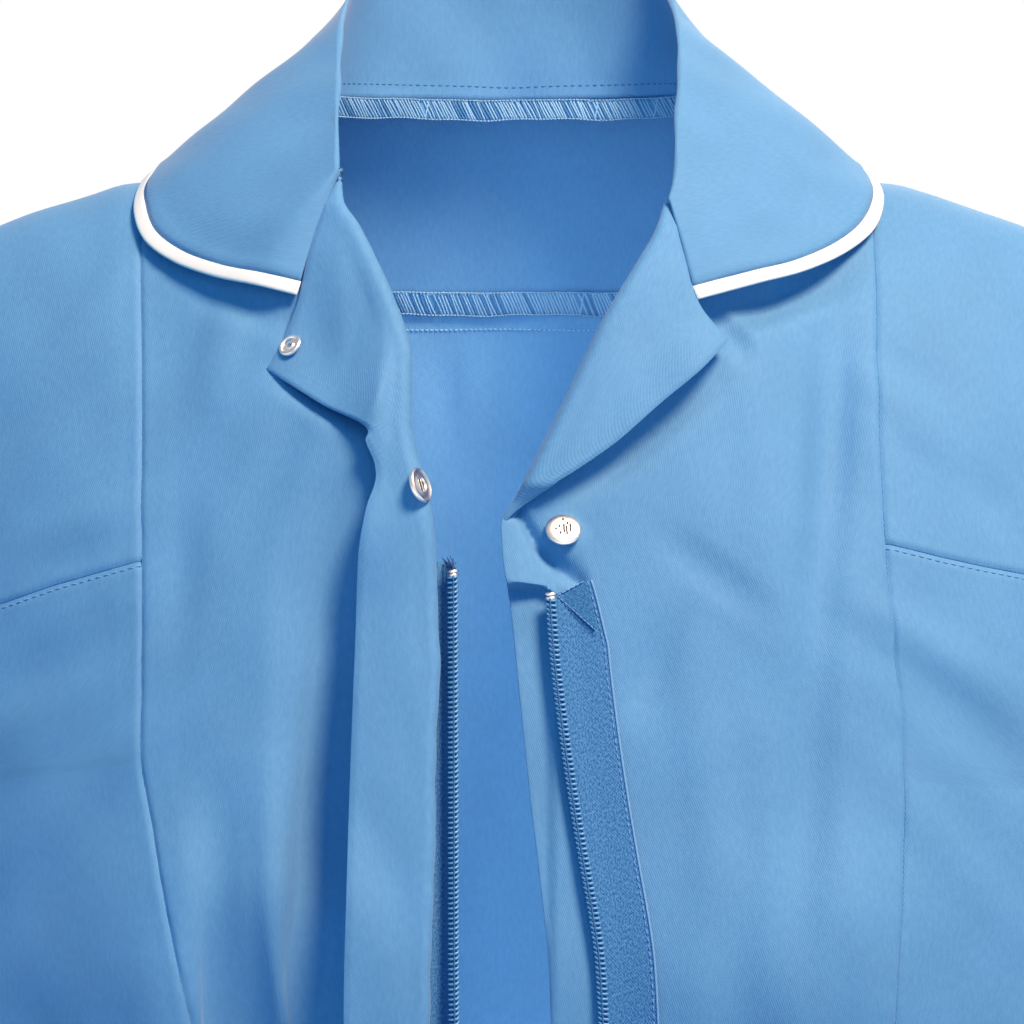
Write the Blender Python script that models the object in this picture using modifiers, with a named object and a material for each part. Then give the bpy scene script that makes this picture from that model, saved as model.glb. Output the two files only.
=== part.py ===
"""Zip-front work tunic with short sleeves, a piped round collar and turned-out lapels.

The garment keeps the filled-out form of a worn one. The wearer's front faces -Y,
the wearer's right is -X, and the origin is at the nape, where the collar meets the
back yoke. The zip is undone from the neck to the waist, where its slider sits.
Lengths are in metres.
"""

import math
from bisect import bisect_right

import bmesh
import bpy
from mathutils import Vector

MM = 0.001

# Cloth
CLOTH = 1.6 * MM          # wall of a single panel
DOUBLE_CLOTH = 1.8 * MM   # wall of a lapel, which is two plies
COLLAR_CLOTH = 2.0 * MM   # wall of the collar, two plies and interlining
TAPE_CLOTH = 1.0 * MM     # wall of a zip tape
SEAM = 0.2 * MM           # half of the parting between two panels
HIDDEN_SEAM = 1.0 * MM    # parting between a front and the cloth that turns round its fold
HEM = -700 * MM           # height of the hem, below the nape
UNDERARM = -215 * MM      # height of the underarm point
RIDGE_DROP = 0.008 * MM   # parts front and back by half a millimetre at the shoulder

# Form
ROUNDNESS = 2.25          # power of the oval that each level section follows
FRONT_ROLL = 160 * MM     # height over which the front rounds over the shoulder
BACK_ROLL = 120 * MM      # the same on the back
CUP_X = 88 * MM
CUP_Z = -262 * MM
CUP_SPREAD = 62 * MM
CUP_DEPTH = 7 * MM

# Front edges
RIGHT = -1                # the wearer's right, at -X
LEFT = 1                  # the wearer's left, at +X
LEAD = 2 * MM             # cloth between the front's seam and the fold
BEFORE_ZIP = 2.8 * MM     # the right front lies this far before the zip
BEHIND_ZIP = 4.3 * MM     # the left front lies this far behind the zip
LAYER_REACH = 105 * MM    # the layers meet the form this far from the centre
LAPEL_LIFT = {RIGHT: -0.07, LEFT: 0.03}   # rise of a lapel for each unit of its width
FLY_LIFT = 0.05
NECK_INSET = 2 * MM       # the fronts stop this far outside the collar's neck seam

# Zip
SLIDER_Z = -460 * MM
SLIDER_HEIGHT = 12 * MM
SLIDER_WIDTH = 9.6 * MM
ZIP_TOP_RIGHT = -147 * MM
ZIP_TOP_LEFT = -158 * MM
ZIP_FOOT = -668 * MM
COIL_WIDTH = 3.4 * MM
COIL_DEPTH = 2.3 * MM
MESHED_WIDTH = 2.6 * MM
TAPE_WIDTH = 14.5 * MM
ZIP_BOX_HEIGHT = 8 * MM
TAB_LENGTH = 25 * MM
TAB_WIDTH = 6.2 * MM

# Collar
STAND_ROLL = 1.8 * MM     # radius of the tight fold where the collar turns over
PIPING_WIDTH = 4.6 * MM
PIPING_DEPTH = 1.8 * MM

# Press studs
STUD_GAP = 0.4 * MM
STUD_RADIUS = 5.4 * MM
SOCKET_Z = -122.5 * MM
SOCKET_FACING = (0.82, -0.57, 0.12)
SOCKET_DEPTH = 1.7 * MM
SOCKET_HOLE = 1.9 * MM
CAP_PLACE = (16.3 * MM, -136 * MM)
CAP_DEPTH = 1.8 * MM
RING_PLACE = (-65.3 * MM, -81 * MM)
RING_RADIUS = 3.8 * MM
RING_DEPTH = 1.0 * MM
RING_HOLE = 2.0 * MM

# Sleeves
CUFF_CENTRE = (272 * MM, -4 * MM, -262 * MM)
CUFF_TILT = math.radians(30)
CUFF_ACROSS = 55 * MM
CUFF_DEEP = 60 * MM


class Curve:
    """A smooth curve through the rows of a short table, with no overshoot between them."""

    def __init__(self, rows):
        rows = sorted(rows)
        self.xs = [row[0] * MM for row in rows]
        self.ys = [row[1] * MM for row in rows]
        steps = [b - a for a, b in zip(self.xs, self.xs[1:])]
        rises = [(b - a) / step for a, b, step in zip(self.ys, self.ys[1:], steps)]
        self.slopes = [rises[0]]
        for before, after in zip(rises, rises[1:]):
            same_way = before * after > 0
            self.slopes.append(2 * before * after / (before + after) if same_way else 0.0)
        self.slopes.append(rises[-1])

    def __call__(self, x):
        if x <= self.xs[0]:
            return self.ys[0]
        if x >= self.xs[-1]:
            return self.ys[-1]
        k = bisect_right(self.xs, x) - 1
        step = self.xs[k + 1] - self.xs[k]
        t = (x - self.xs[k]) / step
        start = (1 + 2 * t) * (1 - t) ** 2 * self.ys[k] + t * (1 - t) ** 2 * step * self.slopes[k]
        end = t * t * (3 - 2 * t) * self.ys[k + 1] - t * t * (1 - t) * step * self.slopes[k + 1]
        return start + end


def columns(names, rows):
    """Turn a table into one curve for each named column after the first."""
    return {name: Curve([(row[0], row[k + 1]) for row in rows]) for k, name in enumerate(names)}


# Level sections of the worn form: height, half width, depth of front and of back
BODY = columns(("half_width", "front", "back"), [
    (30, 205, 90, 98),
    (0, 205, 91, 99),
    (-60, 204, 94, 101),
    (-120, 203, 99, 104),
    (-215, 205, 112, 102),
    (-280, 203, 118, 96),
    (-340, 193, 114, 88),
    (-420, 182, 106, 82),
    (-520, 197, 110, 97),
    (-620, 214, 118, 111),
    (-700, 221, 124, 116),
])

# Height of the shoulder ridge at a distance from the centre
RIDGE = Curve([
    (0, 24), (30, 20), (50, 12), (68, -2), (90, -17), (105, -26), (114, -28.5),
    (120, -29), (129, -31.5), (139, -34.6), (149, -38), (159, -41.8), (186, -53), (205, -62),
])

# Neck seam: distance from the centre, height at the back; then height, distance at the front
BACK_NECK = Curve([(0, 0), (25, 0.5), (45, 0.5), (58, 0), (66, -1.5), (69, -3)])
FRONT_NECK = Curve([(-31, 51.5), (-22, 56), (-12, 62), (-2, 67.5)])

# Seams of the fronts: height, distance of the princess seam from the centre
PRINCESS = {
    RIGHT: Curve([(-28, 110), (-48, 112.8), (-96, 111.3), (-157, 110.3), (-205, 109.9), (-226, 106.2),
                  (-253, 101.5), (-284, 96), (-420, 79), (-520, 82), (-620, 92), (-700, 98)]),
    LEFT: Curve([(-28, 109.5), (-42, 112), (-96, 111.9), (-131, 112.9), (-170, 115.3), (-194, 118),
                 (-219, 118), (-284, 115), (-350, 106), (-420, 92), (-520, 90), (-620, 96), (-700, 101)]),
}
# Distance from the centre, height of the front yoke seam
FRONT_YOKE = {
    RIGHT: Curve([(105, -144), (111, -145.7), (136, -152.6), (155, -159), (180, -165)]),
    LEFT: Curve([(105, -139), (114, -140.6), (133, -145), (156, -149.7), (180, -154)]),
}
BACK_YOKE = Curve([(0, -63), (60, -64), (120, -69), (180, -78)])
# Height, distance of the armhole seam on the front and on the back
ARMHOLE = {
    "front": Curve([(-53, 186), (-90, 175), (-130, 170), (-165, 173), (-190, 182), (-206, 195), (-215, 205)]),
    "back": Curve([(-53, 186), (-90, 178), (-130, 175), (-165, 178), (-190, 186), (-206, 197), (-215, 205)]),
}

# Rows of the front panels, shared so that both sides of a seam have them at one height
YOKE_ROWS = 10
BREAK_ROWS = 4
SKIRT_ROWS = 17
BREAK_FOOT = -180 * MM
YOKE_START = {RIGHT: -145.7 * MM, LEFT: -140.4 * MM}
LAPEL_FOOT = -133 * MM    # the left lapel's roll ends here

# Front edges: height, then distance of the visible fold and of the free edge towards +X
FOLD = {
    RIGHT: Curve([(-28, -51), (-40, -46.8), (-54, -38.4), (-67, -32.5), (-79, -29.2), (-97, -29.2),
                  (-109, -27.1), (-124, -23.5), (-139, -21.2), (-163, -20), (-181, -19.7), (-205, -21.2),
                  (-240, -21.5), (-255, -22.9), (-283, -23.2), (-330, -22), (-380, -18.5), (-430, -12),
                  (-460, -8.5), (-490, -7), (-700, -6)]),
    LEFT: Curve([(-36, 48.6), (-45, 45.6), (-56, 39), (-73, 28.6), (-88, 21.2), (-103, 13.7),
                 (-115, 7.7), (-127, 1.8), (-134.5, -2.4), (-145, -1.8), (-158, 0.3), (-187, 3.3),
                 (-216, 6.3), (-240, 9.2), (-264, 11.6), (-283, 12.4), (-310, 13), (-350, 9),
                 (-390, 1), (-430, -9), (-460, -13), (-500, -14), (-700, -14)]),
}
# Height, distance of the turned cloth's free edge towards +X: gorge, lapel, then fly
FREE_EDGE = {
    RIGHT: Curve([(-27.2, -50.4), (-34.6, -52.7), (-65.3, -62.3), (-76.4, -67.3), (-87.7, -72.7),
                  (-97.2, -57.8), (-107.6, -41.4), (-109.4, -42.3), (-116.6, -39.9), (-119.6, -39.6),
                  (-130, -42.6), (-145, -45), (-172, -45.9), (-216, -47.4), (-283, -48.9), (-330, -48),
                  (-380, -44.5), (-430, -38), (-460, -34.5), (-490, -33), (-700, -32)]),
    LEFT: Curve([(-36.1, 48.6), (-50.1, 52.4), (-66.8, 56.9), (-79.3, 65.9), (-88.9, 56.9), (-98.7, 45),
                 (-109.1, 33.1), (-117.5, 21.2), (-124, 10.7), (-130, 2.4), (-134.5, -2)]),
}
# Height, how far the fly has come back over the zip
UNFOLDED = Curve([(-700, 33), (-602, 33), (-575, 25), (-545, 11), (-520, 3), (-500, 0), (-28, 0)])
# Height, radius of the fold
FOLD_RADIUS = Curve([(-28, 2.2), (-70, 2.6), (-100, 3.2), (-124, 3.6), (-160, 2.4), (-700, 2.2)])

# Height, distance of each coil's middle towards +X
COIL = {
    RIGHT: Curve([(-147, -17.6), (-157, -17.5), (-283, -17), (-330, -16.5), (-380, -12.8), (-430, -6.4),
                  (-454, -3.1), (-466, -1.5), (-700, -1.5)]),
    LEFT: Curve([(-155, 12.7), (-172, 13.6), (-193, 16), (-216, 19.3), (-234, 22.3), (-252, 25.5),
                 (-264, 27.1), (-283, 28.2), (-310, 29), (-350, 26), (-390, 18.5), (-430, 8.6),
                 (-454, 3.1), (-466, 1.5), (-700, 1.5)]),
}

# Largest folds of the fronts: side, distance, heights of both ends, drift, half width, depth
FOLDS = [
    {"side": RIGHT, "x": 56, "top": -120, "foot": -345, "drift": 2, "spread": 17, "depth": 7},
    {"side": RIGHT, "x": 81, "top": -205, "foot": -370, "drift": -6, "spread": 15, "depth": 6},
    {"side": LEFT, "x": 95, "top": -52, "foot": -150, "drift": 6, "spread": 13, "depth": 3},
    {"side": LEFT, "x": 74, "top": -215, "foot": -380, "drift": -8, "spread": 16, "depth": 4},
]

# Collar: half of it, from the centre back to the gorge. Roll line, then outer edge of the piping
COLLAR = [
    {"neck": (0, 0), "roll": (0, 57, 43), "edge": (0, -26), "stand_off": 7},
    {"neck": (14, 0), "roll": (13.5, 56.6, 42.7), "edge": (21, -26.5), "stand_off": 7},
    {"neck": (27, 0), "roll": (27, 53.8, 41.5), "edge": (42, -27.5), "stand_off": 7},
    {"neck": (40, 0), "roll": (39.5, 47.5, 39), "edge": (62, -29), "stand_off": 7},
    {"neck": (52, 0), "roll": (48.5, 38, 36), "edge": (80, -31), "stand_off": 6.5},
    {"neck": (61, 0), "roll": (53, 27, 32), "edge": (95.5, -32), "stand_off": 6.5},
    {"neck": (66.5, 0), "roll": (54.4, 14, 27), "edge": (107, -31), "stand_off": 6},
    {"neck": (68.5, 0), "roll": (54.8, 0, 21), "edge": (114, -26), "stand_off": 5.5},
    {"neck": (66, -5), "roll": (54.6, -15, 12), "edge": (116, -34.5), "stand_off": 6},
    {"neck": (62.5, -12), "roll": (54.5, -32, 1), "edge": (112.5, -46.5), "stand_off": 6.5},
    {"neck": (59, -18), "roll": (54.5, -45, -9), "edge": (103, -54), "stand_off": 7},
    {"neck": (55.5, -24), "roll": (54.3, -56, -18.5), "edge": (90, -59), "stand_off": 7.5},
    {"neck": (53, -29), "roll": (54.1, -63.5, -26), "edge": (76.5, -62), "stand_off": 8},
]
# Last station of each side, along the gorge
GORGE = {
    RIGHT: {"top": (-50.8, -27.2), "notch": (-62.7, -65.1)},
    LEFT: {"top": (49.0, -36.1), "notch": (57.3, -66.6)},
}

PALE_BLUE = (0.13, 0.33, 0.66)
DEEP_BLUE = (0.05, 0.20, 0.50)
WHITE = (0.86, 0.87, 0.88)
STEEL = (0.72, 0.72, 0.74)


# Helpers for the scene

def clear_scene():
    for thing in list(bpy.data.objects):
        bpy.data.objects.remove(thing, do_unlink=True)


def make_material(name, colour, roughness, metallic=0.0):
    material = bpy.data.materials.new(name)
    material.use_nodes = True
    shader = material.node_tree.nodes["Principled BSDF"]
    shader.inputs["Base Color"].default_value = (*colour, 1.0)
    shader.inputs["Roughness"].default_value = roughness
    shader.inputs["Metallic"].default_value = metallic
    return material


def add_object(name, mesh, material):
    thing = bpy.data.objects.new(name, mesh)
    thing.data.materials.append(material)
    PARTS.objects.link(thing)
    return thing


def cloth(name, grid, wall, material):
    """A panel: an open grid of points, given its wall by Solidify."""
    across = len(grid[0])
    points = [point for row in grid for point in row]
    faces = []
    for r in range(len(grid) - 1):
        for c in range(across - 1):
            first = r * across + c
            faces.append((first, first + across, first + across + 1, first + 1))
    mesh = bpy.data.meshes.new(name)
    mesh.from_pydata(points, [], faces)
    mesh.shade_smooth()
    panel = add_object(name, mesh, material)
    solidify = panel.modifiers.new("wall", "SOLIDIFY")
    solidify.thickness = wall
    solidify.offset = 0.0
    return panel


def rod(name, rings, material):
    """A closed loft through rings that have the same number of points."""
    sides = len(rings[0])
    points = [point for ring in rings for point in ring]
    faces = []
    for r in range(len(rings) - 1):
        for k in range(sides):
            n = (k + 1) % sides
            faces.append((r * sides + k, r * sides + n, (r + 1) * sides + n, (r + 1) * sides + k))
    faces.append(tuple(reversed(range(sides))))
    faces.append(tuple(range((len(rings) - 1) * sides, len(rings) * sides)))
    mesh = bpy.data.meshes.new(name)
    mesh.from_pydata(points, [], faces)
    tidy = bmesh.new()
    tidy.from_mesh(mesh)
    bmesh.ops.recalc_face_normals(tidy, faces=tidy.faces)
    tidy.to_mesh(mesh)
    tidy.free()
    mesh.shade_smooth()
    return add_object(name, mesh, material)


# The worn form

def bump(distance):
    """1 at 0, falling smoothly to 0 at 1."""
    return (1 - distance * distance) ** 2 if abs(distance) < 1 else 0.0


def step(low, high, value):
    """0 below low, 1 above high, smooth between."""
    t = min(1.0, max(0.0, (value - low) / (high - low)))
    return t * t * (3 - 2 * t)


def oval(x, z):
    share = min(1.0, abs(x) / BODY["half_width"](z))
    return max(0.0, 1 - share ** ROUNDNESS) ** (1 / ROUNDNESS)


def over_shoulder(x, z, roll):
    drop = min(roll, max(0.0, RIDGE(abs(x)) - z))
    return math.sqrt(1 - (1 - drop / roll) ** 2)


def form_front(x, z):
    """Depth of the smooth front at a distance and a height."""
    reach = math.hypot(abs(x) - CUP_X, z - CUP_Z) / CUP_SPREAD
    cup = CUP_DEPTH * bump(reach)
    return -(BODY["front"](z) * oval(x, z) * over_shoulder(x, z, FRONT_ROLL) + cup)


def form_back(x, z):
    return BODY["back"](z) * oval(x, z) * over_shoulder(x, z, BACK_ROLL)


def fold_depth(x, z):
    """How far the fronts' largest folds sink below the smooth form."""
    depth = 0.0
    for fold in FOLDS:
        top, foot = fold["top"] * MM, fold["foot"] * MM
        along = (z - foot) / (top - foot)
        if 0 < along < 1:
            middle = fold["side"] * (fold["x"] + fold["drift"] * (1 - along)) * MM
            across = (x - middle) / (fold["spread"] * MM)
            depth += fold["depth"] * MM * bump(across) * math.sin(math.pi * along)
    return depth


def layer(side, x, z):
    """The right front lies before the zip and the left one behind it."""
    near = bump(min(1.0, abs(x) / LAYER_REACH)) * step(-40 * MM, -110 * MM, z)
    return -BEFORE_ZIP * near if side == RIGHT else BEHIND_ZIP * near


def front_point(side, x, z, proud=0.0):
    """A point of a front panel, or of what lies on it if it stands proud."""
    return Vector((x, form_front(x, z) + fold_depth(x, z) + layer(side, x, z) - proud, z))


def back_point(x, z, proud=0.0):
    return Vector((x, form_back(x, z) + proud, z))


# Places on a level section are angles: 0 at the centre, a quarter turn at the side seam

def angle_at(x, z):
    share = min(1.0, abs(x) / BODY["half_width"](z))
    return math.copysign(math.asin(share ** (ROUNDNESS / 2)), x)


def x_at(angle, z):
    return math.copysign(BODY["half_width"](z) * abs(math.sin(angle)) ** (2 / ROUNDNESS), angle)


SIDE_ANGLE = math.pi / 2 - 2.5 * MM


def arc_from_drop(drop, roll):
    """Length of cloth from the ridge down to a drop, as it rounds over the shoulder."""
    if drop < roll:
        return roll * math.acos(1 - max(0.0, drop) / roll)
    return roll * math.pi / 2 + drop - roll


def drop_from_arc(arc, roll):
    quarter = roll * math.pi / 2
    return roll * (1 - math.cos(arc / roll)) if arc < quarter else arc - quarter + roll


def panel_grid(inner, outer, lines, counts, across, roll, surface):
    """Points of a panel between two upright seams, from its top line to its foot line.

    inner and outer give an angle for a height. Each of lines gives a height for a distance,
    and counts says how many rows lie between one line and the next.
    """
    def place(share, z):
        start = inner(z)
        return x_at(start + (outer(z) - start) * share, z)

    def meet(share, line):
        z = line(0.1)
        for _ in range(40):
            z = line(abs(place(share, z)))
        return z

    strips = []
    for c in range(across + 1):
        share = c / across
        heights = [meet(share, line) for line in lines]
        ridge = RIDGE(abs(place(share, heights[0])))
        arcs = [arc_from_drop(ridge - z, roll) for z in heights]
        strip = [surface(place(share, heights[0]), heights[0])]
        for k, count in enumerate(counts):
            for r in range(1, count + 1):
                arc = arcs[k] + (arcs[k + 1] - arcs[k]) * r / count
                z = heights[k + 1] if r == count else ridge - drop_from_arc(arc, roll)
                strip.append(surface(place(share, z), z))
        strips.append(strip)
    return [[strip[r] for strip in strips] for r in range(len(strips[0]))]


def shoulder_line(x):
    """Just below the ridge, where the shoulder seam parts front and back."""
    return RIDGE(x) - RIDGE_DROP


def hem_line(x):
    return HEM


def level_line(height):
    return lambda x: height


def seam_angle(curve, side, shift):
    return lambda z: angle_at(side * curve(z) + shift, z)


# Cut and sewn pieces

def front_inner(side):
    """Inner edge of a front: the neck seam, then the fold's seam or the free edge."""
    def edge(z):
        top = FOLD[side].xs[-1]
        if z > top:
            return side * (FRONT_NECK(z) + NECK_INSET)
        if side == LEFT and z < LAPEL_FOOT:
            return FOLD[LEFT](z)
        blend = step(top, top - 6 * MM, z)
        seam = FOLD[side](z) + side * (LEAD + FOLD_RADIUS(z) + HIDDEN_SEAM)
        if side == LEFT:
            open_edge = step(LAPEL_FOOT + 6 * MM, LAPEL_FOOT, z)
            seam += (FOLD[LEFT](z) - seam) * open_edge
        return seam * blend + side * (FRONT_NECK(top) + NECK_INSET) * (1 - blend)
    return lambda z: angle_at(edge(z), z)


def front_centre(side, name):
    outer = seam_angle(PRINCESS[side], side, -side * SEAM)
    lines = (shoulder_line, level_line(YOKE_START[side]), level_line(BREAK_FOOT), hem_line)
    grid = panel_grid(front_inner(side), outer, lines, (YOKE_ROWS, BREAK_ROWS, SKIRT_ROWS), 10,
                      FRONT_ROLL, lambda x, z: front_point(side, x, z))
    cloth(name, grid, CLOTH, LIGHT_CLOTH)


def front_yoke(side, name):
    inner = seam_angle(PRINCESS[side], side, side * SEAM)
    outer = seam_angle(ARMHOLE["front"], side, -side * SEAM)
    foot = lambda x: FRONT_YOKE[side](x) + SEAM
    grid = panel_grid(inner, outer, (shoulder_line, foot), (YOKE_ROWS,), 5, FRONT_ROLL,
                      lambda x, z: front_point(side, x, z))
    cloth(name, grid, CLOTH, LIGHT_CLOTH)


def side_edge(which, side):
    """The armhole seam, and below the underarm the side seam."""
    def angle(z):
        if z <= UNDERARM:
            return side * SIDE_ANGLE
        return side * min(SIDE_ANGLE, abs(angle_at(ARMHOLE[which](z) - SEAM, z)))
    return angle


def front_side(side, name):
    inner = seam_angle(PRINCESS[side], side, side * SEAM)
    top = lambda x: FRONT_YOKE[side](x) - SEAM
    lines = (top, level_line(BREAK_FOOT), hem_line)
    grid = panel_grid(inner, side_edge("front", side), lines, (BREAK_ROWS, SKIRT_ROWS), 8,
                      FRONT_ROLL, lambda x, z: front_point(side, x, z))
    cloth(name, grid, CLOTH, LIGHT_CLOTH)


def back_neck_line(x):
    """The neck seam at the back, then the ridge."""
    if x < 68.5 * MM:
        return min(BACK_NECK(x) - 1.6 * MM, shoulder_line(x))
    return shoulder_line(x)


def back_yoke():
    foot = lambda x: BACK_YOKE(x) + SEAM
    inner = seam_angle(ARMHOLE["back"], -1, SEAM)
    outer = seam_angle(ARMHOLE["back"], 1, -SEAM)
    grid = panel_grid(inner, outer, (back_neck_line, foot), (6,), 26, BACK_ROLL, back_point)
    cloth("back_yoke", grid, CLOTH, LIGHT_CLOTH)


def back_panel():
    top = lambda x: BACK_YOKE(x) - SEAM
    lines = (top, level_line(BREAK_FOOT), hem_line)
    grid = panel_grid(side_edge("back", -1), side_edge("back", 1), lines, (4, SKIRT_ROWS - 2), 24,
                      BACK_ROLL, back_point)
    cloth("back_panel", grid, CLOTH, LIGHT_CLOTH)


def turned_profile(side, z, count):
    """One level section of the cloth that turns round a front's fold.

    It starts behind the fold, turns forward round it and lies back over the front. Lower
    down the fold wanders across the fly, until the fly lies flat over the zip.
    """
    reach = abs(FREE_EDGE[side](z) - FOLD[side](z)) - 2 * SEAM
    radius = min(FOLD_RADIUS(z), 0.42 * reach)
    back_over = UNFOLDED(z) if side == RIGHT else 0.0
    lead = LEAD + back_over
    root = FOLD[side](z) + side * (LEAD + radius)
    length = LEAD + math.pi * radius + reach - radius
    is_lapel = step(-135 * MM, -105 * MM, z) if side == RIGHT else 1.0
    lift = FLY_LIFT + (LAPEL_LIFT[side] - FLY_LIFT) * is_lapel
    points = []
    for k in range(count + 1):
        run = length * (k / count) ** 1.4
        if run <= lead:
            x = root - side * run
            proud = 0.0
        elif run <= lead + math.pi * radius:
            turn = (run - lead) / radius
            x = root - side * (lead + radius * math.sin(turn))
            proud = radius * (1 - math.cos(turn))
        else:
            rest = run - lead - math.pi * radius
            x = root - side * (lead - rest)
            proud = 2 * radius + lift * rest
        y = form_front(x, z) + layer(side, x if side == LEFT else min(x, 0.0), z) - proud
        points.append(Vector((x, y, z)))
    return points


def levels(marks, spacing):
    """Heights from the first mark to the last, through every mark, evenly between them."""
    heights = [marks[0] * MM]
    for upper, lower, gap in zip(marks, marks[1:], spacing):
        count = max(1, round((upper - lower) / gap))
        heights += [(upper + (lower - upper) * k / count) * MM for k in range(1, count + 1)]
    return heights


def facing_right():
    marks = (-31.5, -65.3, -87.7, -107.6, -119.6, -160, -500, -610, -700)
    heights = levels(marks, (8, 8, 8, 6, 14, 34, 12, 45))
    grid = [turned_profile(RIGHT, z, 14) for z in heights]
    cloth("lapel_and_fly_right", grid, DOUBLE_CLOTH, FACING_CLOTH)


def facing_left():
    marks = (-41, -66.8, -79.3, -124, -131)
    heights = levels(marks, (9, 7, 9, 3))
    grid = [turned_profile(LEFT, z, 12) for z in heights]
    cloth("lapel_left", grid, DOUBLE_CLOTH, FACING_CLOTH)


def sleeve(side, name):
    """A tube from the armhole seam to a plain cuff."""
    half = 12
    tilt = CUFF_TILT
    axis = Vector((side * math.sin(tilt), 0, -math.cos(tilt)))
    outward = Vector((side * math.cos(tilt), 0, math.sin(tilt)))
    centre = Vector((side * CUFF_CENTRE[0], CUFF_CENTRE[1], CUFF_CENTRE[2]))
    top = RIDGE(ARMHOLE["front"].ys[-1])
    loop = []
    for k in range(2 * half):
        around = math.pi * k / half
        front = k <= half
        down = (1 - math.cos(around)) / 2
        which = "front" if front else "back"
        z = top + (UNDERARM - top) * down
        x = side * ARMHOLE[which](z)
        point = front_point(side, x, z) if front else back_point(x, z)
        loop.append((around, down, point))
    strips = []
    for around, down, point in loop:
        start_way = Vector((side, 0, -0.38 * (1 - down) - 0.12 * down)).normalized()
        start = point + start_way * (0.7 + 1.6 * down) * MM
        end = centre + outward * CUFF_ACROSS * math.cos(around) - Vector((0, 1, 0)) * CUFF_DEEP * math.sin(around)
        pull = (end - start).length
        strip = []
        for r in range(9):
            t = r / 8
            blend = t * t * (3 - 2 * t)
            place = start * (1 - blend) + end * blend
            place += start_way * pull * t * (1 - t) ** 2 - axis * pull * t * t * (1 - t)
            strip.append(place)
        strips.append(strip)
    strips.append(strips[0])
    closed_grid(name, strips, CLOTH, LIGHT_CLOTH)


def closed_grid(name, strips, wall, material):
    """A tube of cloth: its last strip is its first one."""
    count = len(strips) - 1
    down = len(strips[0])
    points = [point for strip in strips[:-1] for point in strip]
    faces = []
    for c in range(count):
        n = (c + 1) % count
        for r in range(down - 1):
            faces.append((c * down + r, c * down + r + 1, n * down + r + 1, n * down + r))
    mesh = bpy.data.meshes.new(name)
    mesh.from_pydata(points, [], faces)
    mesh.shade_smooth()
    tube = add_object(name, mesh, material)
    solidify = tube.modifiers.new("wall", "SOLIDIFY")
    solidify.thickness = wall
    solidify.offset = 0.0
    return tube


# Collar and piping

def collar_station(side, row):
    """Neck seam, roll line and outer edge of one station, as points."""
    neck_x, neck_z = row["neck"]
    at_back = neck_z >= -1
    if at_back:
        z = BACK_NECK(neck_x * MM)
        neck = back_point(side * neck_x * MM, z)
    else:
        z = neck_z * MM
        neck = front_point(side, side * FRONT_NECK(z), z)
    roll = Vector((side * row["roll"][0], row["roll"][1], row["roll"][2])) * MM
    edge_x, edge_z = (value * MM for value in row["edge"])
    stand_off = row["stand_off"] * MM
    drop = RIDGE(edge_x) - edge_z
    behind = row["roll"][1] > 3
    if drop < 1 * MM:
        edge = Vector((side * edge_x, 0, RIDGE(edge_x) + stand_off))
    elif behind:
        edge = back_point(side * edge_x, edge_z, stand_off)
    else:
        edge = front_point(side, side * edge_x, edge_z, stand_off)
    return neck, roll, edge


def lapel_point(side, x, z):
    """A point of a lapel, which rises from the front with its distance from the fold."""
    proud = 2 * FOLD_RADIUS(z) + LAPEL_LIFT[side] * abs(x - FOLD[side](z))
    return Vector((x, form_front(x, z) + layer(side, x, z) - proud, z))


def outward_at(surface, side, x, z):
    """Direction straight out of the front of a surface."""
    here = surface(side, x, z)
    across = surface(side, x + MM, z) - here
    up = surface(side, x, z + MM) - here
    return across.cross(up).normalized()


def gorge_station(side, share):
    """The end of the collar, along the seam that joins it to the lapel."""
    top_x, top_z = GORGE[side]["top"]
    notch_x, notch_z = GORGE[side]["notch"]
    x = (top_x + (notch_x - top_x) * share) * MM
    z = (top_z + (notch_z - top_z) * share) * MM
    return lapel_point(side, x, z)


def fall_points(roll, edge, outward, count, lift):
    """Points from the roll's outer side down to the edge, slightly rounded."""
    points = []
    for k in range(count + 1):
        t = k / count
        points.append(roll.lerp(edge, t) + (Vector((0, 0, 0.6)) + outward * 0.8) * lift * 4 * t * (1 - t))
    return points


def collar_profiles():
    """Sections across the collar, from the right gorge round the back to the left one."""
    profiles = []
    order = [(RIGHT, row) for row in reversed(COLLAR)] + [(LEFT, row) for row in COLLAR[1:]]
    for side, row in order:
        neck, roll, edge = collar_station(side, row)
        outward = edge - roll
        outward.z = 0
        outward.normalize()
        centre = roll - Vector((0, 0, STAND_ROLL))
        inside = centre - outward * STAND_ROLL
        corner = 0.7071 * STAND_ROLL
        stand = [neck.lerp(inside, t) for t in (0.0, 0.35, 0.7, 1.0)]
        crown = [centre + Vector((0, 0, corner)) - outward * corner, roll,
                 centre + Vector((0, 0, corner)) + outward * corner]
        profiles.append(stand + crown + fall_points(centre + outward * STAND_ROLL, edge, outward, 8, 3 * MM))
    for side in (RIGHT, LEFT):
        end = [gorge_station(side, t / 8) for t in range(9)]
        start = end[0]
        inner = Vector((start.x + side * 1.2 * MM, start.y + 4.2 * MM, start.z + 1.5 * MM))
        head = [inner.lerp(start, t / 7) for t in range(7)]
        if side == RIGHT:
            profiles.insert(0, head + end)
        else:
            profiles.append(head + end)
    return profiles


def corner_counts(gaps):
    """More sections where the collar's edge turns its round corners."""
    counts = []
    for k in range(gaps):
        from_end = min(k, gaps - 1 - k)
        counts.append(2 if 3 <= from_end <= 7 else 1)
    return counts


def refine(profiles, counts):
    """Put smooth sections between the given ones."""
    finer = []
    last = len(profiles) - 1
    for k in range(last):
        around = [profiles[max(0, k - 1)], profiles[k], profiles[k + 1], profiles[min(last, k + 2)]]
        for number in range(counts[k]):
            t = number / counts[k]
            finer.append([spline(*four, t) for four in zip(*around)])
    finer.append(profiles[-1])
    return finer


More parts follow.
